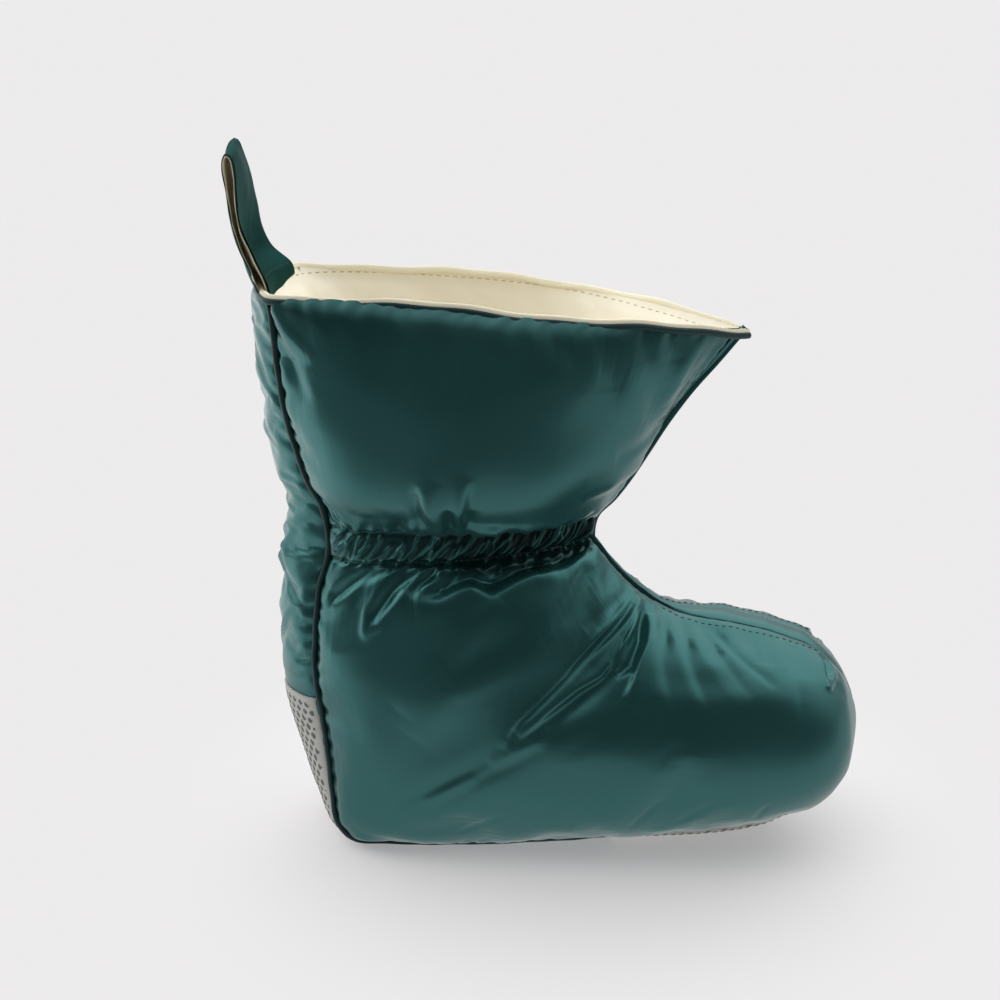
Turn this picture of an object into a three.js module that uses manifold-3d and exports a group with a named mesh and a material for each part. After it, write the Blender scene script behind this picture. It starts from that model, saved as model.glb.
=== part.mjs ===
// A down bootie: a slipper of down-filled nylon with a flared shaft, an elastic waist and a soft sole.
// Millimetres. +X points to the toe, +Y to the wearer's left, +Z up. The origin is on the floor, in the
// middle of the flat spot that the heel rests on.
import * as THREE from "three";
import { mergeVertices } from "three/addons/utils/BufferGeometryUtils.js";
import Module from "manifold-3d";

const wasm = await Module();
wasm.setup();

// Lengths, measured from the back of the heel
const footLength = 305.5;
const heelBack = 54; // from the origin back to the heel's furthest point
const waistLength = 163; // front to back through the elastic waist
const collarLength = 238.5; // front to back along the open collar

// Heights
const collarHeight = 297; // at the back
const collarDrop = 23; // how much lower the collar's front tip is
const waistHeight = 168; // middle of the elastic
const instepHeight = 129; // top of the foot at the end of the instep seam
const toeSpring = 10; // rise of the sole's edge below the toe cap

// Widths
const ballWidth = 120;
const heelWidth = 112;
const waistWidth = 78;
const shaftWidth = 132;
const collarWidth = 96;
const stripWidth = 78; // the strip that runs down the back and under the foot
const toeStripWidth = 17; // the same strip on top of the toe
const ridgeWidth = 2.4; // the front seam, where the two side panels meet

// Thicknesses
const downWall = 15;
const seamWall = 2.6;
const waistWall = 5.5;
const soleWall = 9;
const insoleThickness = 5;
const patchThickness = 1;
const clearance = 0.3;

// Shape of the fabric
const seamDepth = 4; // how deep a sewn seam lies below the down on each side of it
const seamReach = 9;
const backLean = 4.7; // how far the back of the shaft stands behind the heel
const waistTuck = 6.5; // how far the elastic draws the back in
const collarArch = 6; // rise of the collar's edge between its back and its tip

// Trim
const weltWidth = 2.4;
const weltDip = 0.6; // how far the welt's edge stays below the down
const loopWidth = 62;
const loopHeight = 64.5;
const loopGap = 8; // between the two legs, near the top
const loopThickness = 1.4;
const loopLean = 10.5; // how far the top of the loop leans back

// Facets
const ribSteps = 2; // ribs drawn for each row of a table
const floorDepth = 40;

const heelX = -heelBack;
const toeX = heelX + footLength;

// The rows of a table, each with its values under the names of the columns
function table(names, rows) {
  const columns = names.split(" ");
  return rows.map((row) => Object.fromEntries(columns.map((name, i) => [name, row[i]])));
}

// Each row is one rib of the form, from the collar down to the waist. rise is the share of the shaft's
// height; flare of the way from the waist's front to the collar's tip; lean of backLean; tuck of
// waistTuck; full of the way from the waist's width to the shaft's; collar of the way to the collar's;
// arch of collarArch; strip of the strip's width; bow is how far the strip bulges out past its seams, as a
// share of its width; back and front say how blunt each end is (0 square, 1 round, 2 sharp); loft is the
// share of the down's thickness.
const shaftRows = table(
  "rise flare lean tuck full collar arch strip bow back front loft",
  [
    [1, 1, 0.4, 0, 1, 1, 1, 0.99, 0.13, 0.12, 1.95, 0],
    [0.95, 0.94, 1, 0, 0.86, 0.5, 0.9, 0.97, 0.17, 0.22, 2.1, 0.25],
    [0.84, 0.82, 0.95, 0, 0.84, 0.08, 0.6, 0.94, 0.18, 0.4, 2, 0.7],
    [0.7, 0.66, 0.85, 0, 0.95, 0, 0.25, 0.91, 0.19, 0.62, 1.85, 1],
    [0.55, 0.515, 0.6, 0, 1, 0, 0, 0.87, 0.2, 0.78, 1.7, 1],
    [0.4, 0.39, 0.2, 0, 0.93, 0, 0, 0.82, 0.23, 0.84, 1.55, 1],
    [0.27, 0.28, 0, 0.25, 0.71, 0, 0, 0.76, 0.25, 0.84, 1.45, 0.85],
    [0.16, 0.17, 0, 0.98, 0.34, 0, 0, 0.7, 0.27, 0.8, 1.35, 0.45],
    [0.075, 0.06, 0, 0.96, 0.04, 0, 0, 0.67, 0.3, 0.72, 1.25, 0.06],
  ],
);

// The ribs of the foot, fanned from the waist round the heel to the toe. frontX and backX are shares of
// the foot's length; frontZ of the instep's height; backZ of the waist's height; spring of toeSpring;
// width is the share of the heel's width, and ball of the way from it to the ball's; flat is how much of
// the strip's middle lies flat; top is the share of the toe strip's width at the rib's upper end.
const footRows = table(
  "frontX frontZ backX backZ spring width ball strip bow flat back front top loft",
  [
    [0.542, 1.285, 0.014, 0.95, 0, 0.7, 0, 0.67, 0.32, 0, 0.72, 1.2, 0, 0.06],
    [0.553, 1.245, 0.005, 0.85, 0, 0.8, 0, 0.68, 0.3, 0, 0.78, 1.15, 0, 0.45],
    [0.567, 1.198, 0, 0.71, 0, 0.9, 0, 0.7, 0.28, 0, 0.84, 1.1, 0, 0.85],
    [0.583, 1.152, 0, 0.56, 0, 0.95, 0, 0.72, 0.27, 0, 0.86, 1.08, 0, 1],
    [0.6, 1.11, 0.009, 0.41, 0, 0.98, 0, 0.73, 0.27, 0, 0.84, 1.06, 0, 1],
    [0.615, 1.077, 0.03, 0.262, 0, 1, 0.05, 0.76, 0.23, 0, 0.78, 1.04, 0, 1],
    [0.628, 1.053, 0.052, 0.13, 0, 1, 0.1, 0.82, 0.17, 0, 0.66, 1.02, 0, 1],
    [0.64, 1.03, 0.085, 0.034, 0, 1, 0.2, 0.9, 0.075, 0.2, 0.54, 1, 0.02, 1],
    [0.652, 1.01, 0.15, 0, 0, 1, 0.3, 0.95, 0.005, 0.4, 0.44, 0.98, 0.06, 1],
    [0.665, 0.992, 0.25, 0, 0, 1, 0.45, 0.95, 0.005, 0.4, 0.42, 0.97, 0.14, 1],
    [0.682, 0.977, 0.36, 0, 0, 1, 0.65, 0.93, 0.015, 0.4, 0.44, 0.96, 0.3, 1],
    [0.705, 0.967, 0.47, 0, 0, 1, 0.85, 0.91, 0.045, 0.4, 0.46, 0.95, 0.55, 1],
    [0.734, 0.962, 0.58, 0, 0, 1, 1, 0.89, 0.085, 0.4, 0.5, 0.95, 0.8, 1],
    [0.768, 0.957, 0.68, 0, 0, 1, 1, 0.86, 0.12, 0.4, 0.54, 0.95, 1, 1],
    [0.803, 0.94, 0.765, 0, 0.1, 0.985, 1, 0.81, 0.135, 0.4, 0.6, 0.95, 1, 1],
    [0.839, 0.92, 0.832, 0, 0.38, 0.955, 1, 0.71, 0.115, 0.4, 0.68, 0.95, 1, 1],
    [0.875, 0.891, 0.884, 0, 0.85, 0.9, 1, 0.58, 0.08, 0.3, 0.76, 0.95, 1, 1],
    [0.913, 0.856, 0.926, 0, 1.45, 0.815, 1, 0.45, 0.045, 0.2, 0.84, 0.95, 1, 1],
    [0.945, 0.797, 0.96, 0, 2.3, 0.705, 1, 0.34, 0.03, 0.1, 0.9, 0.95, 1, 1],
    [0.971, 0.727, 0.984, 0, 3.45, 0.545, 1, 0.26, 0.02, 0, 0.95, 0.97, 1, 1],
    [0.989, 0.645, 0.997, 0, 4.85, 0.32, 1, 0.16, 0.02, 0, 1, 1, 0.8, 1],
  ],
);
const toeTip = { x: 1, z: 0.53 }; // shares of the foot's length and of the instep's height

// Where pieces begin and end, as places in the two tables counted from the collar
const waistPlace = shaftRows.length;
const weltPlaces = { from: 0.5, to: waistPlace + 17.5 };
const solePlaces = { from: waistPlace + 6.7, to: waistPlace + 16.5 };
const heelPatchPlaces = { top: 0.25, droop: 0.2, from: waistPlace + 4, to: waistPlace + 9 };
const ballPatchPlaces = { top: 0.5, droop: 0, from: waistPlace + 12.5, to: waistPlace + 17 };
const patchEdge = 0.88; // share of the strip's width that a patch covers

const mix = (a, b, t) => a + (b - a) * t;
const smooth = (low, high, t) => THREE.MathUtils.smoothstep(t, low, high);

// One rib, in millimetres: its two ends in the side view, its half width, its seams and its wall
function shaftRib(row) {
  const fullness = mix(waistWidth, shaftWidth, row.full);
  const wall = row.collar === 1 ? seamWall : mix(waistWall, downWall, row.loft);
  return {
    frontX: mix(heelX + waistLength, heelX + collarLength, row.flare),
    frontZ: mix(waistHeight, collarHeight - collarDrop, row.rise),
    backX: heelX - backLean * row.lean + waistTuck * row.tuck,
    backZ: mix(waistHeight, collarHeight, row.rise),
    half: mix(fullness, collarWidth, row.collar) / 2,
    arch: collarArch * row.arch,
    back: row.back,
    front: row.front,
    backSeam: (stripWidth / 2) * row.strip,
    bow: stripWidth * row.bow,
    flat: 0,
    frontSeam: ridgeWidth / 2,
    wall,
    floorWall: wall,
    innerBow: stripWidth * row.bow,
  };
}

function footRib(row) {
  const wall = mix(waistWall, downWall, row.loft);
  return {
    frontX: heelX + footLength * row.frontX,
    frontZ: instepHeight * row.frontZ,
    backX: heelX + footLength * row.backX,
    backZ: waistHeight * row.backZ + toeSpring * row.spring + patchThickness + clearance,
    half: (mix(heelWidth, ballWidth, row.ball) * row.width) / 2,
    arch: 0,
    back: row.back,
    front: row.front,
    backSeam: (stripWidth / 2) * row.strip,
    bow: stripWidth * row.bow,
    flat: row.flat,
    frontSeam: Math.max(ridgeWidth, toeStripWidth * row.top) / 2,
    wall,
    floorWall: mix(soleWall, wall, smooth(0, 0.4, row.backZ)),
    innerBow: stripWidth * row.bow * mix(0.8, 1, smooth(0, 0.2, row.backZ)),
  };
}

const ribs = [...shaftRows.map(shaftRib), ...footRows.map(footRib)];
const lastRib = ribs.length - 1;

// The slope of a value at a row, level where the value stops rising or falling
function slope(before, here, after) {
  return (here - before) * (after - here) > 0 ? (after - before) / 2 : 0;
}

// The rib at a place between rows, on a smooth curve through each value
function ribAt(at) {
  const i = Math.min(Math.floor(at), lastRib - 1);
  const t = at - i;
  const [a, b, c, d] = [i - 1, i, i + 1, i + 2].map((k) => ribs[THREE.MathUtils.clamp(k, 0, lastRib)]);
  const rib = {};
  for (const key of Object.keys(b)) {
    const leave = slope(a[key], b[key], c[key]);
    const arrive = slope(b[key], c[key], d[key]);
    const rise = c[key] - b[key];
    const bend = 3 * rise - 2 * leave - arrive;
    rib[key] = b[key] + leave * t + bend * t * t + (leave + arrive - 2 * rise) * t ** 3;
  }
  return rib;
}

// The rib drawn in by a wall's thickness
function inset(rib, side, floor) {
  const length = Math.hypot(rib.frontX - rib.backX, rib.frontZ - rib.backZ);
  const alongX = (rib.frontX - rib.backX) / length;
  const alongZ = (rib.frontZ - rib.backZ) / length;
  const tip = side * mix(1, 1.7, smooth(1, 2, rib.front));
  return {
    ...rib,
    frontX: rib.frontX - alongX * tip,
    frontZ: rib.frontZ - alongZ * tip,
    backX: rib.backX + alongX * floor,
    backZ: rib.backZ + alongZ * floor,
    half: rib.half - side,
    backSeam: rib.backSeam - side / 2,
    bow: rib.innerBow,
  };
}

// The rib's half width at an angle from its back end (0) to its front end (pi)
function halfWidth(rib, angle) {
  const bend = mix(rib.back, rib.front, smooth(0.3 * Math.PI, 0.75 * Math.PI, angle));
  return rib.half * Math.sin(angle) ** bend;
}

// The angle, from a rib's back end or its front end, at which it has reached a half width
function angleAt(rib, width, fromFront) {
  let low = 0;
  let high = Math.PI / 2;
  for (let i = 0; i < 24; i++) {
    const middle = (low + high) / 2;
    if (halfWidth(rib, fromFront ? Math.PI - middle : middle) < width) low = middle;
    else high = middle;
  }
  return high;
}

// The outline of a rib as a function. A place across it is 0 in the middle of the strip, 1 at the
// strip's seam, 2 at the seam of the toe strip and 3 in the middle of that strip. It gives the distance
// along the rib from its back end, and the half width.
function outline(rib) {
  const length = Math.hypot(rib.frontX - rib.backX, rib.frontZ - rib.backZ);
  const seamWidth = Math.min(rib.backSeam, rib.half * 0.96);
  const backAngle = angleAt(rib, seamWidth, false);
  const frontAngle = Math.PI - angleAt(rib, Math.min(rib.frontSeam, rib.half * 0.5), true);
  const along = (angle) => (length * (1 - Math.cos(angle))) / 2;
  const shift = rib.bow - along(backAngle);
  return (place) => {
    const swell = Math.max((place - rib.flat) / (1 - rib.flat), 0) ** 2;
    if (place <= 1) return { along: rib.bow * swell, half: seamWidth * place };
    const angle = place <= 2 ? mix(backAngle, frontAngle, place - 1) : mix(frontAngle, Math.PI, place - 2);
    const fade = 1 - smooth(backAngle, Math.PI / 2, angle);
    return { along: along(angle) + shift * fade, half: place >= 3 ? 0 : halfWidth(rib, angle) };
  };
}

// A point of a rib, side 1 or -1, sunk by a depth into the form
function ribPoint(rib, trace, place, side, depth) {
  const length = Math.hypot(rib.frontX - rib.backX, rib.frontZ - rib.backZ);
  const alongX = (rib.frontX - rib.backX) / length;
  const alongZ = (rib.frontZ - rib.backZ) / length;
  const here = trace(place);
  let { along, half } = here;
  if (place === 0) along += depth;
  else if (place === 3) along -= depth;
  else {
    const before = trace(Math.max(place - 0.02, 0));
    const after = trace(Math.min(place + 0.02, 3));
    const size = Math.hypot(after.along - before.along, after.half - before.half);
    along += ((after.half - before.half) / size) * depth;
    half = Math.max(half - ((after.along - before.along) / size) * depth, 0.2);
  }
  const lift = 4 * rib.arch * (along / length) * (1 - along / length);
  return new THREE.Vector3(
    rib.backX + alongX * along - alongZ * lift,
    side * half,
    rib.backZ + alongZ * along + alongX * lift,
  );
}

// How deep the seams draw the fabric in at a place across a rib
function grooveDepth(trace, place) {
  const here = trace(place);
  const reach = [1, 2].map((seam) => {
    const there = trace(seam);
    return Math.hypot(here.along - there.along, here.half - there.half);
  });
  return seamDepth * Math.exp(-2 * (Math.min(...reach) / seamReach) ** 2);
}

// Places across one side of a rib at which the fabric is drawn
const stripPlaces = [0, 0.4, 0.7, 0.88];
const panelPlaces = [1, 1.035, 1.08, 1.15, 1.24, 1.36, 1.5, 1.64, 1.77, 1.87, 1.94, 1.975];
const outerPlaces = [...stripPlaces, ...panelPlaces, 2, 2.5, 3];
const innerPlaces = [0, 0.35, 0.68, 1, 1.1, 1.24, 1.4, 1.58, 1.76, 1.9, 2, 3];

// The whole ring of a rib, from the middle of its back end round the left side and back on the right
function ring(rib, places, grooved) {
  const trace = outline(rib);
  const sunk = places.map((place) => (grooved ? grooveDepth(trace, place) : 0));
  const left = places.map((place, i) => ribPoint(rib, trace, place, 1, sunk[i]));
  const right = places.map((place, i) => ribPoint(rib, trace, place, -1, sunk[i])).slice(1, -1);
  return [...left, ...right.reverse()];
}

// A closed surface through rings, each end closed to a point
function skin(rings, start, end) {
  const count = rings[0].length;
  const positions = [start, ...rings.flat(), end].flatMap((p) => [p.x, p.y, p.z]);
  const index = [];
  const last = 1 + rings.length * count;
  for (let k = 0; k < count; k++) {
    const next = (k + 1) % count;
    index.push(0, 1 + k, 1 + next);
    index.push(last, last - count + next, last - count + k);
    for (let r = 0; r + 1 < rings.length; r++) {
      const a = 1 + r * count;
      const b = a + count;
      index.push(a + k, b + k, b + next, a + k, b + next, a + next);
    }
  }
  const geometry = new THREE.BufferGeometry();
  geometry.setAttribute("position", new THREE.Float32BufferAttribute(positions, 3));
  geometry.setIndex(index);
  return geometry;
}

// A sheet with thickness, from a grid of points on its inner face and one on its outer face
function sheet(inner, outer) {
  const rows = inner.length;
  const columns = inner[0].length;
  const positions = [...inner.flat(), ...outer.flat()].flatMap((p) => [p.x, p.y, p.z]);
  const index = [];
  const point = (face, r, c) => face * rows * columns + r * columns + c;
  const quad = (a, b, c, d) => index.push(a, b, c, a, c, d);
  for (let r = 0; r + 1 < rows; r++)
    for (let c = 0; c + 1 < columns; c++) {
      quad(point(0, r, c), point(0, r, c + 1), point(0, r + 1, c + 1), point(0, r + 1, c));
      quad(point(1, r, c), point(1, r + 1, c), point(1, r + 1, c + 1), point(1, r, c + 1));
    }
  const right = columns - 1;
  const end = rows - 1;
  for (let r = 0; r < end; r++) {
    quad(point(0, r, 0), point(0, r + 1, 0), point(1, r + 1, 0), point(1, r, 0));
    quad(point(0, r, right), point(1, r, right), point(1, r + 1, right), point(0, r + 1, right));
  }
  for (let c = 0; c < right; c++) {
    quad(point(0, 0, c), point(1, 0, c), point(1, 0, c + 1), point(0, 0, c + 1));
    quad(point(0, end, c), point(0, end, c + 1), point(1, end, c + 1), point(1, end, c));
  }
  const geometry = new THREE.BufferGeometry();
  geometry.setAttribute("position", new THREE.Float32BufferAttribute(positions, 3));
  geometry.setIndex(index);
  return geometry;
}

// A solid from a closed surface, whichever way its facets face
function solid(geometry) {
  const plain = geometry.clone();
  plain.deleteAttribute("normal");
  plain.deleteAttribute("uv");
  const merged = mergeVertices(plain, 1e-4);
  const vertProperties = merged.attributes.position.array;
  const triVerts = new Uint32Array(merged.index.array);
  const made = new wasm.Manifold(new wasm.Mesh({ numProp: 3, vertProperties, triVerts }));
  if (made.volume() > 0) return made;
  for (let i = 0; i < triVerts.length; i += 3) triVerts.subarray(i, i + 3).reverse();
  return new wasm.Manifold(new wasm.Mesh({ numProp: 3, vertProperties, triVerts }));
}

// The largest body of a solid, as a geometry
function drawn(shape) {
  const body = shape.decompose().sort((a, b) => b.volume() - a.volume())[0];
  const mesh = body.getMesh();
  const points = new Float32Array(mesh.numVert * 3);
  for (let i = 0; i < mesh.numVert; i++)
    points.set(mesh.vertProperties.subarray(i * mesh.numProp, i * mesh.numProp + 3), i * 3);
  const geometry = new THREE.BufferGeometry();
  geometry.setAttribute("position", new THREE.BufferAttribute(points, 3));
  geometry.setIndex(new THREE.BufferAttribute(mesh.triVerts, 1));
  geometry.computeVertexNormals();
  return geometry;
}

// Everything below a height
function below(height) {
  const low = -floorDepth;
  const geometry = new THREE.BoxGeometry(3 * footLength, 2 * ballWidth, height - low);
  geometry.translate(0, 0, (height + low) / 2);
  return solid(geometry);
}

const places = (from, to, step) => {
  const count = Math.round((to - from) / step);
  return Array.from({ length: count + 1 }, (_, i) => mix(from, to, i / count));
};

// The whole outer form
function outerForm() {
  const shapes = places(0, lastRib, 1 / ribSteps).map(ribAt);
  const { frontX, frontZ, backX, backZ, arch } = shapes[0];
  const middle = new THREE.Vector3((frontX + backX) / 2, 0, (frontZ + backZ) / 2 + arch);
  const toe = new THREE.Vector3(heelX + toeTip.x * footLength, 0, toeTip.z * instepHeight);
  const rings = shapes.map((rib) => ring(rib, outerPlaces, true));
  return solid(skin(rings, middle, toe));
}

// The inside of the bootie, with a gap to its wall, open upwards past the collar
function insideForm(gap) {
  const shapes = places(0, lastRib - 1, 1)
    .map(ribAt)
    .map((rib) => inset(rib, rib.wall + gap, rib.floorWall + gap));
  const rings = shapes.map((rib) => ring(rib, innerPlaces, false));
  const lift = new THREE.Vector3(0, 0, 2 * collarDrop);
  const above = rings[0].map((p) => p.clone().add(lift));
  const { frontX, backX } = shapes[0];
  const middle = new THREE.Vector3((frontX + backX) / 2, 0, collarHeight).add(lift);
  const toe = new THREE.Vector3(toeX - downWall - gap, 0, toeTip.z * instepHeight);
  return solid(skin([above, ...rings], middle, toe));
}

// The seam of the strip at a place: its point at the bottom of the groove
function seamPoint(at, side, depth, across) {
  const rib = ribAt(at);
  const trace = outline(rib);
  const centre = ribPoint(rib, trace, 1, side, depth);
  const before = ribPoint(rib, trace, 0.98, side, depth);
  const after = ribPoint(rib, trace, 1.02, side, depth);
  return centre.addScaledVector(after.sub(before).normalize(), across);
}

// A column through the sole, bounded by the seams on each side
function soleColumn(gap) {
  const seam = places(solePlaces.from, solePlaces.to, 0.25).map((at) => seamPoint(at, 1, seamDepth, 0));
  const middle = seam[Math.floor(seam.length / 2)];
  const edge = seam.map((p) => {
    const away = new THREE.Vector2(p.x - middle.x, p.y).normalize().multiplyScalar(gap);
    return new THREE.Vector2(p.x + away.x, p.y + Math.max(away.y, gap * 0.8));
  });
  edge[0].x -= gap;
  edge[edge.length - 1].x += gap;
  const mirrored = [...edge].reverse().map((p) => new THREE.Vector2(p.x, -p.y));
  const geometry = new THREE.ExtrudeGeometry(new THREE.Shape([...edge, ...mirrored]), {
    depth: floorDepth + 3.5 * soleWall,
    bevelEnabled: false,
  });
  geometry.translate(0, 0, -floorDepth);
  return solid(geometry);
}

// The welt: the seam allowance that stands in the groove between the strip and a side panel
function welt(side) {
  const rows = places(weltPlaces.from, weltPlaces.to, 1 / ribSteps);
  const low = seamDepth - 4 * clearance;
  const corners = [
    { depth: low, across: -0.5 },
    { depth: low, across: 0.5 },
    { depth: weltDip + 0.5, across: 0.5 },
    { depth: weltDip, across: 0.25 },
    { depth: weltDip, across: -0.25 },
    { depth: weltDip + 0.5, across: -0.5 },
  ];
  const rings = rows.map((at) =>
    corners.map(({ depth, across }) => seamPoint(at, side, depth, across * weltWidth)),
  );
  const centre = (points) =>
    points.reduce((sum, p) => sum.addScaledVector(p, 1 / points.length), new THREE.Vector3());
  return solid(skin(rings, centre(rings[0]), centre(rings[rings.length - 1])));
}

// The direction straight out of the form at a place, before the seams draw it in
function outward(at, place, side) {
  const reach = 0.03;
  const point = (row, p) => ribPoint(ribAt(row), outline(ribAt(row)), p, side, 0);
  const along = point(at + reach, place).sub(point(at - reach, place));
  const across = point(at, place + reach).sub(point(at, Math.max(place - reach, 0)));
  return across.cross(along).normalize().multiplyScalar(side);
}

// A thin grip patch laid over the strip from one seam to the other
function gripPatch({ top, droop, from, to }) {
  const shares = [-patchEdge, -0.7, -0.4, 0, 0.4, 0.7, patchEdge];
  const rows = [from - top, ...places(from, to, 1 / ribSteps)];
  const face = (proud) =>
    rows.map((row, i) =>
      shares.map((share) => {
        const at = i === 0 ? row + droop * share * share : row;
        const place = Math.abs(share);
        const side = Math.sign(share) || 1;
        const trace = outline(ribAt(at));
        const point = ribPoint(ribAt(at), trace, place, side, grooveDepth(trace, place));
        return point.addScaledVector(outward(at, place, side), proud);
      }),
    );
  return solid(sheet(face(clearance), face(clearance + patchThickness)));
}

// The pull loop: a wide strap folded over, one leg inside the collar and one outside
function pullLoop() {
  const edge = ribAt(0);
  const half = loopThickness / 2 + clearance;
  const rise = (share) => collarHeight + loopHeight * share;
  const lean = (share) => -loopLean * (1 - (1 - share) ** 2);
  const middle = edge.backX + seamWall / 2;
  const bowAt = (rib, y) => rib.bow * (y / rib.backSeam) ** 2;
  // Middle line of the strap from the leg inside to the leg outside: x, bow at its edges, height
  const inside = [0.6, 0.3, 0].map((at) => {
    const rib = inset(ribAt(at), ribAt(at).wall, ribAt(at).wall);
    return { x: rib.backX + half + 3 * clearance, bow: bowAt(rib, loopWidth / 2), z: rib.backZ };
  });
  const free = [
    { share: 0.1, gap: 0.66 },
    { share: 0.35, gap: 0.7 },
    { share: 0.6, gap: 0.9 },
    { share: 0.82, gap: 1 },
    { share: 0.94, gap: 0.85 },
    { share: 1, gap: 0 },
    { share: 0.94, gap: -0.85 },
    { share: 0.82, gap: -1 },
    { share: 0.6, gap: -0.85 },
    { share: 0.35, gap: -0.7 },
    { share: 0.1, gap: -0.66 },
  ].map(({ share, gap }) => ({
    x: middle + lean(share) + (gap * loopGap) / 2,
    bow: bowAt(edge, loopWidth / 2) * (1 - share),
    z: rise(share),
  }));
  const outside = [0, 0.5, 1].map((at) => {
    const rib = ribAt(at);
    return { x: rib.backX - half - clearance, bow: bowAt(rib, loopWidth / 2), z: rib.backZ };
  });
  const line = [...inside, ...free, ...outside].map(({ x, bow, z }) => new THREE.Vector3(x, bow, z));
  const curve = new THREE.CatmullRomCurve3(line, false, "centripetal");
  const across = [-1, -0.66, -0.33, 0, 0.33, 0.66, 1];
  const face = (offset) =>
    places(0, 1, 1 / 48).map((t) => {
      const p = curve.getPoint(t);
      const tangent = curve.getTangent(t);
      const size = Math.hypot(tangent.x, tangent.z);
      return across.map((share) => {
        const x = p.x + p.y * share * share - (tangent.z / size) * offset;
        return new THREE.Vector3(x, (share * loopWidth) / 2, p.z + (tangent.x / size) * offset);
      });
    });
  return solid(sheet(face(-loopThickness / 2), face(loopThickness / 2)));
}

const outside = outerForm();
const wall = outside.subtract(insideForm(0));
const insoleTop = patchThickness + 2 * clearance + soleWall + insoleThickness;

const fabric = new THREE.MeshStandardMaterial({ color: 0x2a5a5c, roughness: 0.35, metalness: 0.1 });
const trim = new THREE.MeshStandardMaterial({ color: 0x1b3f40, roughness: 0.6 });
const felt = new THREE.MeshStandardMaterial({ color: 0xd9cfae, roughness: 0.9 });
const grip = new THREE.MeshStandardMaterial({ color: 0x949690, roughness: 0.85 });

const root = new THREE.Group();
function add(name, shape, material) {
  const mesh = new THREE.Mesh(drawn(shape), material);
  mesh.name = name;
  root.add(mesh);
}
add("upper", wall.subtract(soleColumn(clearance)), fabric);
add("sole", wall.intersect(soleColumn(0)), fabric);
add("insole", insideForm(clearance).intersect(below(insoleTop)), felt);
add("seam_welt_left", welt(1), trim);
add("seam_welt_right", welt(-1), trim);
add("heel_patch", gripPatch(heelPatchPlaces), grip);
add("forefoot_patch", gripPatch(ballPatchPlaces), grip);
add("pull_loop", pullLoop(), trim);
export default root;
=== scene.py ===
import math

import bmesh
import bpy
import numpy as np
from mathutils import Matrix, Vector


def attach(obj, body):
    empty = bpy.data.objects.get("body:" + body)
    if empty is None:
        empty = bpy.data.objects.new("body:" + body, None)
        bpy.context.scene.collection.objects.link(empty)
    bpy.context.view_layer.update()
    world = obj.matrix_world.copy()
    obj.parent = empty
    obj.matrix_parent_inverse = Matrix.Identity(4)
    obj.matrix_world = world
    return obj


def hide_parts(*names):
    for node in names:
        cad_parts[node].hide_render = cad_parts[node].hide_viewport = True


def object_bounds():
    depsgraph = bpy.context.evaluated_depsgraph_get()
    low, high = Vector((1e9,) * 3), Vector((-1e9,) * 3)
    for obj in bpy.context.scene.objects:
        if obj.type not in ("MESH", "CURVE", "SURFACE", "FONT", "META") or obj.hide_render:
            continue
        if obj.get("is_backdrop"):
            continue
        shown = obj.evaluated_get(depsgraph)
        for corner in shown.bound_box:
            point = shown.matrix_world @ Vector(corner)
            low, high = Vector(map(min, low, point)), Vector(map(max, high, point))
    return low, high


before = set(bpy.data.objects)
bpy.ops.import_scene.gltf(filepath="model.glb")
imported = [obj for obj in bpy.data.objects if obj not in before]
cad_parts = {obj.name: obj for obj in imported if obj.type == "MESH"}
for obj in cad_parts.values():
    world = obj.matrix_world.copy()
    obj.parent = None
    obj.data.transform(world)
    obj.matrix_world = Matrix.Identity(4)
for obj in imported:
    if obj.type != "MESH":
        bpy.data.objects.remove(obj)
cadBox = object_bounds()
scene = bpy.context.scene
scene.view_settings.view_transform = "Standard"
mm = 0.001

# The camera of the picture, above the floor on the bootie's right
cameraSetup = {
    "place": (86, -678.3, 422),  # millimetres
    "tilt": 70.67,
    "turn": 2.0,
    "lens": 50.4,
}
cameraData = bpy.data.cameras.new("viewCamera")
cameraData.lens = cameraSetup["lens"]
cameraData.sensor_width = 36
cameraData.clip_start = 0.01
camera = bpy.data.objects.new("viewCamera", cameraData)
camera.location = [v * mm for v in cameraSetup["place"]]
camera.rotation_euler = (math.radians(cameraSetup["tilt"]), 0, math.radians(cameraSetup["turn"]))
scene.collection.objects.link(camera)
scene.camera = camera
print("camera set")

# The bootie's own sizes, in millimetres, the same as its solids have
boot = {
    "footLength": 305.5,
    "heelBack": 54,
    "waistLength": 163,
    "collarLength": 238.5,
    "collarHeight": 297,
    "collarDrop": 23,
    "waistHeight": 168,
    "instepHeight": 129,
    "toeSpring": 10,
    "ballWidth": 120,
    "heelWidth": 112,
    "waistWidth": 78,
    "shaftWidth": 132,
    "collarWidth": 96,
    "stripWidth": 78,
    "toeStripWidth": 17,
    "ridgeWidth": 2.4,
    "downWall": 15,
    "seamWall": 2.6,
    "waistWall": 5.5,
    "soleWall": 9,
    "backLean": 4.7,
    "waistTuck": 6.5,
    "collarArch": 6,
    "floorGap": 1.3,
}
heelX = -boot["heelBack"]
toeX = heelX + boot["footLength"]


def table(names, rows):
    values = np.array(rows, float)
    return {name: values[:, i] for i, name in enumerate(names.split())}


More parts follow.
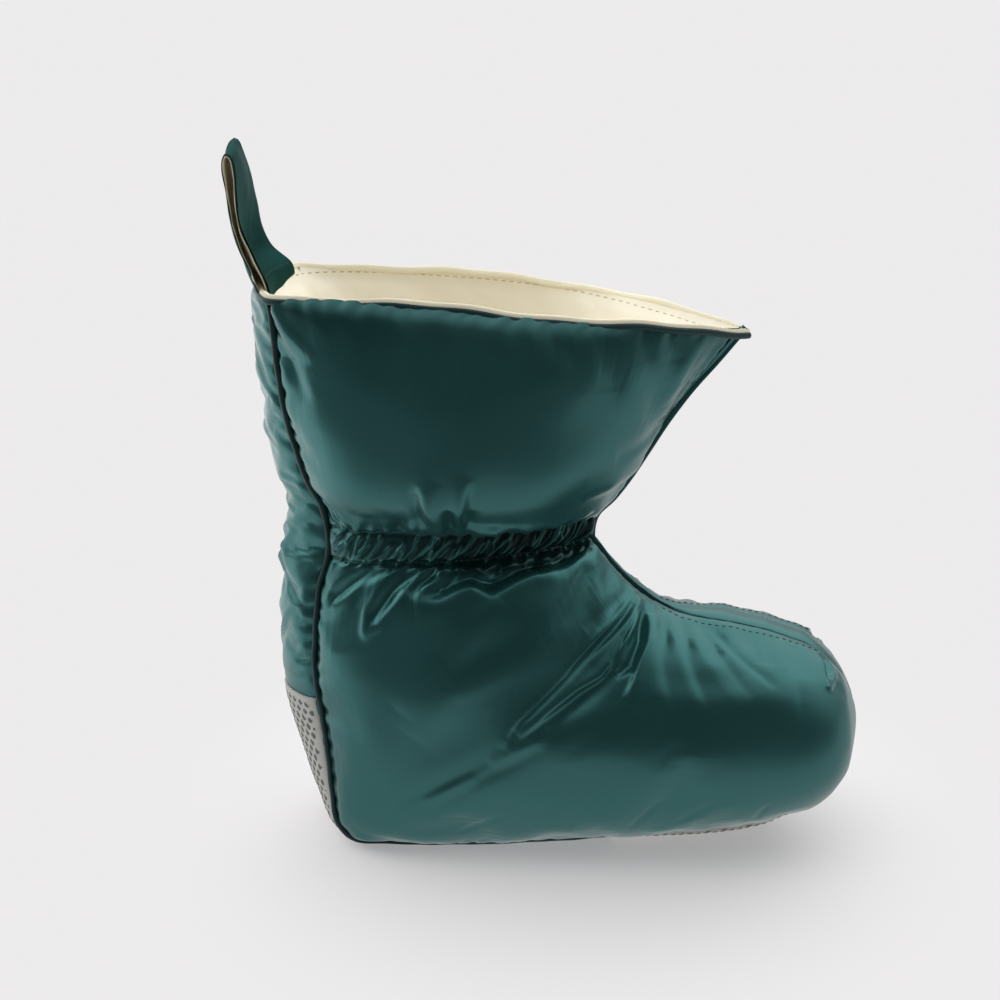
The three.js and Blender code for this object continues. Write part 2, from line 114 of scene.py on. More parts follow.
# One row for each rib of the form, from the collar down to the waist
shaftRows = table(
    "rise flare lean tuck full collar arch strip bow back front loft",
    [
        (1, 1, 0.4, 0, 1, 1, 1, 0.99, 0.13, 0.12, 1.95, 0),
        (0.95, 0.94, 1, 0, 0.86, 0.5, 0.9, 0.97, 0.17, 0.22, 2.1, 0.25),
        (0.84, 0.82, 0.95, 0, 0.84, 0.08, 0.6, 0.94, 0.18, 0.4, 2, 0.7),
        (0.7, 0.66, 0.85, 0, 0.95, 0, 0.25, 0.91, 0.19, 0.62, 1.85, 1),
        (0.55, 0.515, 0.6, 0, 1, 0, 0, 0.87, 0.2, 0.78, 1.7, 1),
        (0.4, 0.39, 0.2, 0, 0.93, 0, 0, 0.82, 0.23, 0.84, 1.55, 1),
        (0.27, 0.28, 0, 0.25, 0.71, 0, 0, 0.76, 0.25, 0.84, 1.45, 0.85),
        (0.16, 0.17, 0, 0.98, 0.34, 0, 0, 0.7, 0.27, 0.8, 1.35, 0.45),
        (0.075, 0.06, 0, 0.96, 0.04, 0, 0, 0.67, 0.3, 0.72, 1.25, 0.06),
    ],
)
# And from the waist round the heel to the toe
footRows = table(
    "frontX frontZ backX backZ spring width ball strip bow flat back front top loft",
    [
        (0.542, 1.285, 0.014, 0.95, 0, 0.7, 0, 0.67, 0.32, 0, 0.72, 1.2, 0, 0.06),
        (0.553, 1.245, 0.005, 0.85, 0, 0.8, 0, 0.68, 0.3, 0, 0.78, 1.15, 0, 0.45),
        (0.567, 1.198, 0, 0.71, 0, 0.9, 0, 0.7, 0.28, 0, 0.84, 1.1, 0, 0.85),
        (0.583, 1.152, 0, 0.56, 0, 0.95, 0, 0.72, 0.27, 0, 0.86, 1.08, 0, 1),
        (0.6, 1.11, 0.009, 0.41, 0, 0.98, 0, 0.73, 0.27, 0, 0.84, 1.06, 0, 1),
        (0.615, 1.077, 0.03, 0.262, 0, 1, 0.05, 0.76, 0.23, 0, 0.78, 1.04, 0, 1),
        (0.628, 1.053, 0.052, 0.13, 0, 1, 0.1, 0.82, 0.17, 0, 0.66, 1.02, 0, 1),
        (0.64, 1.03, 0.085, 0.034, 0, 1, 0.2, 0.9, 0.075, 0.2, 0.54, 1, 0.02, 1),
        (0.652, 1.01, 0.15, 0, 0, 1, 0.3, 0.95, 0.005, 0.4, 0.44, 0.98, 0.06, 1),
        (0.665, 0.992, 0.25, 0, 0, 1, 0.45, 0.95, 0.005, 0.4, 0.42, 0.97, 0.14, 1),
        (0.682, 0.977, 0.36, 0, 0, 1, 0.65, 0.93, 0.015, 0.4, 0.44, 0.96, 0.3, 1),
        (0.705, 0.967, 0.47, 0, 0, 1, 0.85, 0.91, 0.045, 0.4, 0.46, 0.95, 0.55, 1),
        (0.734, 0.962, 0.58, 0, 0, 1, 1, 0.89, 0.085, 0.4, 0.5, 0.95, 0.8, 1),
        (0.768, 0.957, 0.68, 0, 0, 1, 1, 0.86, 0.12, 0.4, 0.54, 0.95, 1, 1),
        (0.803, 0.94, 0.765, 0, 0.1, 0.985, 1, 0.81, 0.135, 0.4, 0.6, 0.95, 1, 1),
        (0.839, 0.92, 0.832, 0, 0.38, 0.955, 1, 0.71, 0.115, 0.4, 0.68, 0.95, 1, 1),
        (0.875, 0.891, 0.884, 0, 0.85, 0.9, 1, 0.58, 0.08, 0.3, 0.76, 0.95, 1, 1),
        (0.913, 0.856, 0.926, 0, 1.45, 0.815, 1, 0.45, 0.045, 0.2, 0.84, 0.95, 1, 1),
        (0.945, 0.797, 0.96, 0, 2.3, 0.705, 1, 0.34, 0.03, 0.1, 0.9, 0.95, 1, 1),
        (0.971, 0.727, 0.984, 0, 3.45, 0.545, 1, 0.26, 0.02, 0, 0.95, 0.97, 1, 1),
        (0.989, 0.645, 0.997, 0, 4.85, 0.32, 1, 0.16, 0.02, 0, 1, 1, 0.8, 1),
    ],
)


def mix(a, b, t):
    return a + (b - a) * t


def smooth(low, high, t):
    u = np.clip((t - low) / (high - low), 0, 1)
    return u * u * (3 - 2 * u)


# A bell-shaped rise, as high as 1 where x is 0
def hump(x, width):
    return np.exp(-((x / width) ** 2))


def unit(vectors):
    return vectors / np.maximum(np.linalg.norm(vectors, axis=-1, keepdims=True), 1e-9)


def joined(shaft, foot):
    return np.concatenate([shaft, foot])


# Every rib in millimetres, from the named sizes
def ribTable():
    s, f, b = shaftRows, footRows, boot
    shaftWall = mix(b["waistWall"], b["downWall"], s["loft"])
    shaftWall = np.where(s["collar"] == 1, b["seamWall"], shaftWall)
    footWall = mix(b["waistWall"], b["downWall"], f["loft"])
    full = mix(b["waistWidth"], b["shaftWidth"], s["full"])
    wide = mix(b["heelWidth"], b["ballWidth"], f["ball"]) * f["width"]
    footBack = b["waistHeight"] * f["backZ"] + b["toeSpring"] * f["spring"] + b["floorGap"]
    flare = mix(heelX + b["waistLength"], heelX + b["collarLength"], s["flare"])
    frontTop = b["collarHeight"] - b["collarDrop"]
    innerFoot = mix(0.8, 1, smooth(0, 0.2, f["backZ"]))
    ones = np.ones(len(s["rise"]))
    return {
        "frontX": joined(flare, heelX + b["footLength"] * f["frontX"]),
        "frontZ": joined(mix(b["waistHeight"], frontTop, s["rise"]), b["instepHeight"] * f["frontZ"]),
        "backX": joined(
            heelX - b["backLean"] * s["lean"] + b["waistTuck"] * s["tuck"],
            heelX + b["footLength"] * f["backX"],
        ),
        "backZ": joined(mix(b["waistHeight"], b["collarHeight"], s["rise"]), footBack),
        "half": joined(mix(full, b["collarWidth"], s["collar"]) / 2, wide / 2),
        "arch": joined(b["collarArch"] * s["arch"], 0 * f["width"]),
        "back": joined(s["back"], f["back"]),
        "front": joined(s["front"], f["front"]),
        "backSeam": b["stripWidth"] / 2 * joined(s["strip"], f["strip"]),
        "bow": b["stripWidth"] * joined(s["bow"], f["bow"]),
        "flat": joined(0 * ones, f["flat"]),
        "frontSeam": joined(
            ones * b["ridgeWidth"] / 2,
            np.maximum(b["ridgeWidth"], b["toeStripWidth"] * f["top"]) / 2,
        ),
        "wall": joined(shaftWall, footWall),
        "floorWall": joined(shaftWall, mix(b["soleWall"], footWall, smooth(0, 0.4, f["backZ"]))),
        "innerBow": b["stripWidth"] * joined(s["bow"], f["bow"] * innerFoot),
    }


ribs = ribTable()
lastRib = len(ribs["half"]) - 1


def slope(before, here, after):
    return np.where((here - before) * (after - here) > 0, (after - before) / 2, 0)


# The rib at each place between the rows, on a smooth curve through their values
def ribAt(at):
    at = np.asarray(at, float)
    i = np.clip(np.floor(at).astype(int), 0, lastRib - 1)
    t = at - i
    rib = {}
    for key, v in ribs.items():
        a, b = v[np.maximum(i - 1, 0)], v[i]
        c, d = v[i + 1], v[np.minimum(i + 2, lastRib)]
        leave, arrive, rise = slope(a, b, c), slope(b, c, d), c - b
        bend = 3 * rise - 2 * leave - arrive
        rib[key] = b + leave * t + bend * t**2 + (leave + arrive - 2 * rise) * t**3
    return rib


# A rib drawn in by the thickness of the wall
def drawnIn(rib, side, floor):
    length = np.hypot(rib["frontX"] - rib["backX"], rib["frontZ"] - rib["backZ"])
    alongX = (rib["frontX"] - rib["backX"]) / length
    alongZ = (rib["frontZ"] - rib["backZ"]) / length
    tip = side * mix(1, 1.7, smooth(1, 2, rib["front"]))
    inner = dict(rib)
    inner["frontX"] = rib["frontX"] - alongX * tip
    inner["frontZ"] = rib["frontZ"] - alongZ * tip
    inner["backX"] = rib["backX"] + alongX * floor
    inner["backZ"] = rib["backZ"] + alongZ * floor
    inner["half"] = rib["half"] - side
    inner["backSeam"] = rib["backSeam"] - side / 2
    inner["bow"] = rib["innerBow"]
    return inner


def halfWidth(rib, angle):
    bend = mix(rib["back"], rib["front"], smooth(0.3 * math.pi, 0.75 * math.pi, angle))
    return rib["half"] * np.sin(np.clip(angle, 1e-9, math.pi - 1e-9)) ** bend


# The angle at which a rib is as wide as asked
def angleAt(rib, width, fromFront):
    low = np.zeros_like(rib["half"])
    high = low + math.pi / 2
    for _ in range(24):
        middle = (low + high) / 2
        under = halfWidth(rib, math.pi - middle if fromFront else middle) < width
        low = np.where(under, middle, low)
        high = np.where(under, high, middle)
    return high


# Points across ribs. A place is 0 in the middle of the strip, 1 at its seam, 2 at the toe strip's
# seam and 3 in the middle of that. Each is sunk by a depth.
def ribPoints(rib, place, side, depth=0):
    length = np.hypot(rib["frontX"] - rib["backX"], rib["frontZ"] - rib["backZ"])
    alongX = (rib["frontX"] - rib["backX"]) / length
    alongZ = (rib["frontZ"] - rib["backZ"]) / length
    seamWidth = np.minimum(rib["backSeam"], rib["half"] * 0.96)
    backAngle = angleAt(rib, seamWidth, False)
    frontAngle = math.pi - angleAt(rib, np.minimum(rib["frontSeam"], rib["half"] * 0.5), True)
    shift = rib["bow"] - length * (1 - np.cos(backAngle)) / 2

    def trace(p):
        swell = np.maximum((p - rib["flat"]) / (1 - rib["flat"]), 0) ** 2
        angle = np.where(
            p <= 2, mix(backAngle, frontAngle, p - 1), mix(frontAngle, math.pi, p - 2)
        )
        angle = np.clip(angle, 0, math.pi)
        fade = 1 - smooth(backAngle, math.pi / 2, angle)
        along = length * (1 - np.cos(angle)) / 2 + shift * fade
        half = np.where(p >= 3, 0, halfWidth(rib, angle))
        return np.where(p <= 1, rib["bow"] * swell, along), np.where(p <= 1, seamWidth * p, half)

    along, half = trace(place)
    if np.any(np.asarray(depth) != 0):
        a0, h0 = trace(np.maximum(place - 0.02, 0))
        a1, h1 = trace(np.minimum(place + 0.02, 3))
        size = np.maximum(np.hypot(a1 - a0, h1 - h0), 1e-6)
        along = along + np.where(place == 0, 1, np.where(place == 3, -1, (h1 - h0) / size)) * depth
        half = half - np.where((place == 0) | (place == 3), 0, (a1 - a0) / size) * depth
    lift = 4 * rib["arch"] * (along / length) * (1 - along / length)
    x = rib["backX"] + alongX * along - alongZ * lift
    z = rib["backZ"] + alongZ * along + alongX * lift
    return np.stack(np.broadcast_arrays(x, side * half, z), axis=-1)


# Points of the outer form. Past the last rib, from 29 to 30, is the cap of the toe.
def form(at, place, side, depth=0):
    at, place = np.broadcast_arrays(np.asarray(at, float), np.asarray(place, float))
    points = ribPoints(ribAt(np.minimum(at, lastRib)), place, side, depth)
    u = np.clip(at - lastRib, 0, 1)[..., None]
    if u.max() > 0:
        ends = ribAt(np.array([lastRib, lastRib], float))
        low, high = ribPoints(ends, np.array([1.0, 2.0]), side, depth)
        w = np.clip(place - 1, 0, 1)[..., None]
        seam = mix(low, high, w)
        seam = seam + np.array([1.0, 0, 0]) * (toeX - seam[..., :1]) * 4 * w * (1 - w)
        capX = mix(points[..., :1], seam[..., :1], 1 - (1 - u) ** 2)
        capYZ = mix(points[..., 1:], seam[..., 1:], u)
        points = np.where(u > 0, np.concatenate([capX, capYZ], axis=-1), points)
    return points


# Outward normals of a grid of points
def normalsOf(points, side):
    down, across = np.gradient(points, axis=0), np.gradient(points, axis=1)
    return unit(np.cross(across, down) * side)


# The way a seam faces, from its line and the same line sunk by 1 mm
def seamFacing(at, place, side):
    return form(at, np.full_like(at, place), side) - form(at, np.full_like(at, place), side, 1.0)


# How far each point of a grid is along its row or column
def lengthsAlong(points, axis):
    steps = np.linalg.norm(np.diff(points, axis=axis), axis=-1)
    zero = np.zeros_like(np.take(steps, [0], axis=axis))
    return np.cumsum(np.concatenate([zero, steps], axis=axis), axis=axis)


# The ends of a flat sheet's rings drawn together on its middle line
def withEnds(rings):
    first, last = rings[:1], rings[-1:]
    return np.concatenate([mix(first, first[:, ::-1], 0.5), rings, mix(last, last[:, ::-1], 0.5)])


# Places between two ends, spaced evenly along a line of the form
def evenPlaces(low, high, count, line):
    fine = np.linspace(low, high, 1200)
    run = lengthsAlong(line(fine)[None], 1)[0]
    return np.interp(np.linspace(0, run[-1], count), run, fine)


# A mesh piece from a grid of points in millimetres
def makePiece(name, points, material, closedAcross=False, uv=None, flip=False):
    rows, columns = points.shape[:2]
    index = np.arange(rows * columns).reshape(rows, columns)
    if closedAcross:
        index = np.concatenate([index, index[:, :1]], axis=1)
    a, b, c, d = index[:-1, :-1], index[:-1, 1:], index[1:, 1:], index[1:, :-1]
    quads = np.stack([a, b, c, d] if not flip else [d, c, b, a], axis=-1).reshape(-1, 4)
    return pieceFromFaces(name, points.reshape(-1, 3), quads, material, uv)


def pieceFromFaces(name, points, quads, material, uv=None):
    mesh = bpy.data.meshes.new(name)
    mesh.vertices.add(len(points))
    mesh.vertices.foreach_set("co", (np.asarray(points) * mm).astype(np.float32).ravel())
    width = quads.shape[1]
    mesh.loops.add(quads.size)
    mesh.loops.foreach_set("vertex_index", quads.astype(np.int32).ravel())
    mesh.polygons.add(len(quads))
    mesh.polygons.foreach_set("loop_start", np.arange(0, quads.size, width, dtype=np.int32))
    mesh.polygons.foreach_set("use_smooth", np.full(len(quads), True))
    mesh.update(calc_edges=True)
    if uv is not None:
        layer = mesh.uv_layers.new(name="cloth")
        layer.data.foreach_set("uv", uv.reshape(-1, 2)[quads.ravel()].astype(np.float32).ravel())
    mesh.validate()
    piece = bpy.data.objects.new(name, mesh)
    piece.data.materials.append(material)
    scene.collection.objects.link(piece)
    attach(piece, "root")
    return piece


# Points that lie on each other become one
def weld(piece):
    cleaned = bmesh.new()
    cleaned.from_mesh(piece.data)
    bmesh.ops.remove_doubles(cleaned, verts=cleaned.verts, dist=1e-6)
    cleaned.to_mesh(piece.data)
    cleaned.free()


# Small folds that a seam draws into the cloth, across the seam and dying away from it
def puckers(along, away, pitch, height, reach, seed, width):
    pick = np.random.default_rng(seed)
    total = float(along.max())
    field = np.zeros_like(along)
    place = pitch * 0.4
    while place < total:
        long = reach * pick.uniform(0.45, 1.25)
        wide = pitch * width * pick.uniform(0.75, 1.25)
        tall = height * pick.uniform(0.55, 1.2)
        lean = pick.uniform(-0.35, 0.35)
        near = (np.abs(along - place) < wide * 4 + reach) & (away < long * 2)
        q = (along[near] - place - lean * away[near]) / (wide * (1 + 0.6 * away[near] / reach))
        field[near] -= tall * np.exp(-q * q) * np.exp(-((away[near] / long) ** 1.6))
        place += pitch * pick.uniform(0.65, 1.35)
    return field


# A fold along a path of points: a ridge or, with a negative height, a trough. lean makes one
# flank steeper than the other, and taper says how soon it dies at its ends.
def crease(points, ups, path, height, width, lean, taper):
    path = np.asarray(path, float)
    low, high = path.min(0) - 4 * width, path.max(0) + 4 * width
    near = np.all((points > low) & (points < high), axis=-1)
    p, n = points[near], ups[near]
    run = np.concatenate([[0], np.cumsum(np.linalg.norm(np.diff(path, axis=0), axis=1))])
    best, across, share = np.full(len(p), 1e9), np.zeros(len(p)), np.zeros(len(p))
    for i in range(len(path) - 1):
        a, b = path[i], path[i + 1]
        line = b - a
        t = np.clip(((p - a) @ line) / (line @ line), 0, 1)
        off = p - (a + t[:, None] * line)
        d = np.linalg.norm(off, axis=1)
        closer = d < best
        sign = np.sign(np.einsum("ij,ij->i", np.cross(np.broadcast_to(line, n.shape), n), off))
        best = np.where(closer, d, best)
        across = np.where(closer, d * sign, across)
        share = np.where(closer, (run[i] + t * (run[i + 1] - run[i])) / run[-1], share)
    flank = width * (1 + lean * np.tanh(across / width))
    ends = np.sin(math.pi * np.clip(share, 0.001, 0.999)) ** taper
    field = np.zeros(points.shape[:-1])
    field[near] = height * hump(across, flank) * ends
    return field


print("form ready")


# Finishes
def srgb(r, g, b):
    parts = [v / 255 for v in (r, g, b)]
    return tuple(((v + 0.055) / 1.055) ** 2.4 if v > 0.04 else v / 12.92 for v in parts) + (1,)


def effectGroup(name, inputs, outputs):
    group = bpy.data.node_groups.new(name, "ShaderNodeTree")
    for kind, label, value in inputs:
        group.interface.new_socket(label, in_out="INPUT", socket_type=kind).default_value = value
    for kind, label in outputs:
        group.interface.new_socket(label, in_out="OUTPUT", socket_type=kind)
    return group, group.nodes.new("NodeGroupInput"), group.nodes.new("NodeGroupOutput")


def mathNode(group, operation, a, b=None):
    node = group.nodes.new("ShaderNodeMath")
    node.operation = operation
    for socket, value in zip(node.inputs, (a, b)):
        if value is None:
            continue
        if isinstance(value, (int, float)):
            socket.default_value = value
        else:
            group.links.new(value, socket)
    return node.outputs[0]


# Threads over and under each other, as a height
def weaveGroup():
    group, taken, given = effectGroup(
        "clothWeave",
        [("NodeSocketFloat", "Threads", 900.0), ("NodeSocketFloat", "Unevenness", 0.3)],
        [("NodeSocketFloat", "Height")],
    )
    coordinates = group.nodes.new("ShaderNodeTexCoord")
    apart = group.nodes.new("ShaderNodeSeparateXYZ")
    group.links.new(coordinates.outputs["UV"], apart.inputs[0])
    waves = []
    for axis in "XY":
        along = mathNode(group, "MULTIPLY", apart.outputs[axis], taken.outputs["Threads"])
        waves.append(mathNode(group, "SINE", along))
    threads = mathNode(group, "MULTIPLY", *waves)
    uneven = group.nodes.new("ShaderNodeTexNoise")
    uneven.inputs["Scale"].default_value = 300
    group.links.new(coordinates.outputs["Object"], uneven.inputs["Vector"])
    slub = mathNode(group, "MULTIPLY", uneven.outputs["Fac"], taken.outputs["Unevenness"])
    group.links.new(mathNode(group, "ADD", threads, slub), given.inputs["Height"])
    return group


# Soft creases left in the cloth by handling, as a height, and a mask that tints it unevenly
def crumpleGroup():
    group, taken, given = effectGroup(
        "softCrumple",
        [("NodeSocketFloat", "Size", 40.0), ("NodeSocketFloat", "Spread", 0.5)],
        [("NodeSocketFloat", "Height"), ("NodeSocketFloat", "Patches")],
    )
    coordinates = group.nodes.new("ShaderNodeTexCoord")
    fold = group.nodes.new("ShaderNodeTexNoise")
    fold.inputs["Detail"].default_value = 3
    fold.inputs["Roughness"].default_value = 0.45
    fold.inputs["Distortion"].default_value = 0.8
    group.links.new(coordinates.outputs["Object"], fold.inputs["Vector"])
    group.links.new(taken.outputs["Size"], fold.inputs["Scale"])
    ridge = mathNode(group, "ABSOLUTE", mathNode(group, "SUBTRACT", fold.outputs["Fac"], 0.5))
    group.links.new(mathNode(group, "POWER", ridge, 0.7), given.inputs["Height"])
    patch = group.nodes.new("ShaderNodeTexNoise")
    patch.inputs["Scale"].default_value = 9
    patch.inputs["Detail"].default_value = 2
    group.links.new(coordinates.outputs["Object"], patch.inputs["Vector"])
    group.links.new(
        mathNode(group, "MULTIPLY", patch.outputs["Fac"], taken.outputs["Spread"]), given.inputs["Patches"]
    )
    return group


clothWeave = weaveGroup()
softCrumple = crumpleGroup()


# A woven material: two tints mixed in patches, a weave and soft creases, and painted shade that darkens the
# colour where the mesh's shade attribute is high
def cloth(name, tints, roughness, metallic=0.0, threads=9000, crumple=(22, 0.06), weave=0.04, **extras):
    material = bpy.data.materials.new(name)
    material.use_nodes = True
    tree = material.node_tree
    shader = tree.nodes["Principled BSDF"]
    grain = tree.nodes.new("ShaderNodeGroup")
    grain.node_tree = clothWeave
    grain.inputs["Threads"].default_value = threads
    folds = tree.nodes.new("ShaderNodeGroup")
    folds.node_tree = softCrumple
    folds.inputs["Size"].default_value = crumple[0]
    folds.inputs["Spread"].default_value = 1.0
    tint = tree.nodes.new("ShaderNodeMix")
    tint.data_type = "RGBA"
    tint.inputs[6].default_value, tint.inputs[7].default_value = tints
    tree.links.new(folds.outputs["Patches"], tint.inputs["Factor"])
    # painted shade: where the mesh's attribute is high, the base colour mixes down to 0.12 of the first tint
    paintedShade = tree.nodes.new("ShaderNodeAttribute")
    paintedShade.attribute_name = "paintedShade"
    paintedShadeMix = tree.nodes.new("ShaderNodeMix")
    paintedShadeMix.data_type = "RGBA"
    paintedShadeMix.inputs[7].default_value = [v * 0.12 for v in tints[0][:3]] + [1]
    tree.links.new(paintedShade.outputs["Fac"], paintedShadeMix.inputs["Factor"])
    tree.links.new(tint.outputs[2], paintedShadeMix.inputs[6])
    tree.links.new(paintedShadeMix.outputs[2], shader.inputs["Base Color"])
    uneven = mathNode(tree, "MULTIPLY", folds.outputs["Patches"], 0.08)
    gloss = mathNode(tree, "ADD", uneven, roughness - 0.04)
    tree.links.new(gloss, shader.inputs["Roughness"])
    shader.inputs["Metallic"].default_value = metallic
    soft = tree.nodes.new("ShaderNodeBump")
    soft.inputs["Strength"].default_value = crumple[1]
    soft.inputs["Distance"].default_value = 0.002
    tree.links.new(folds.outputs["Height"], soft.inputs["Height"])
    fine = tree.nodes.new("ShaderNodeBump")
    fine.inputs["Strength"].default_value = weave
    fine.inputs["Distance"].default_value = 0.0003
    tree.links.new(grain.outputs["Height"], fine.inputs["Height"])
    tree.links.new(soft.outputs["Normal"], fine.inputs["Normal"])
    tree.links.new(fine.outputs["Normal"], shader.inputs["Normal"])
    for key, value in extras.items():
        shader.inputs[key].default_value = value
    return material


satin = cloth("tealSatin", (srgb(50, 101, 101), srgb(60, 112, 111)), 0.275, metallic=0.68)
loopCloth = cloth(
    "tealTape",
    (srgb(30, 60, 57), srgb(38, 70, 66)),
    0.45,
    0.6,
    threads=6000,
    crumple=(30, 0.3),
    weave=0.1,
    **{"Specular IOR Level": 0.1, "IOR": 1.2, "Specular Tint": (0.25, 0.5, 0.48, 1)},
)
# dark teal of the welts and the collar roll: partly the welts' own colour, partly painted shade of the seams'
# grooves and of the shadowed groove under the collar's fold
weltCloth = cloth("weltCloth", (srgb(20, 52, 54), srgb(26, 60, 62)), 0.5, metallic=0.3)
lining = cloth(
    "creamCotton",
    (srgb(239, 232, 212), srgb(244, 238, 221)),
    0.92,
    threads=7000,
    crumple=(30, 0.3),
    weave=0.12,
)
hem = cloth("creamHem", (srgb(236, 228, 200), srgb(242, 235, 211)), 0.9, threads=7000, weave=0.25)
feltTop = cloth("footbedFelt", (srgb(216, 204, 166), srgb(224, 214, 180)), 0.95, threads=4000, weave=0.4)
gripCloth = cloth("gripFabric", (srgb(190, 191, 186), srgb(200, 200, 195)), 0.85, threads=5000, weave=0.5)
gripDot = cloth("gripDots", (srgb(96, 97, 94), srgb(106, 106, 103)), 0.6, threads=3000)
thread = cloth("darkThread", (srgb(20, 52, 54), srgb(26, 58, 60)), 0.6)
hemThread = cloth("oliveThread", (srgb(190, 180, 146), srgb(200, 190, 156)), 0.8)
print("finishes ready")

# The two side panels
panel = {
    "rows": 320,
    "bandRows": (1.4, 8.6, 0.9),  # how much closer the rows lie, round which rib and how far from it
    "capRows": 8,
    "columns": 300,
    "seamDepth": 4.2,
    "seamReach": 10,
    "turnWithin": 6,  # within this of a seam the cloth turns to face the way the seam does
    "toeSeamDepth": 1.5,
    "backPuckers": (9.5, 1.5, 9, 3, 0.22),  # pitch, height, reach, seed and width
    "topPuckers": (7, 0.65, 12, 11, 0.28),
    "collarPuckers": (8, 0.7, 9, 19, 0.3),
    "bandTop": 7.97,
    "bandBottom": 9.02,
    "bandPuff": 1.2,
    "bandSink": 5.0,
    "gathers": (3.3, 1.15, 0.95),  # pitch, height and width
    "gatherLean": 0.62,
    "swellShare": 0.8,
    "slowSwells": (8, 0.22),  # how many, and how high
    "toeStitches": (1.965, 17, 27),  # their place, and the ribs that they run between
    "paintedShadeBelow": 0.84,  # how high the gathers are where the painted shade between them begins
    "collarPaintedShade": 0.42,  # how far the painted shade darkens the cloth towards the collar
}
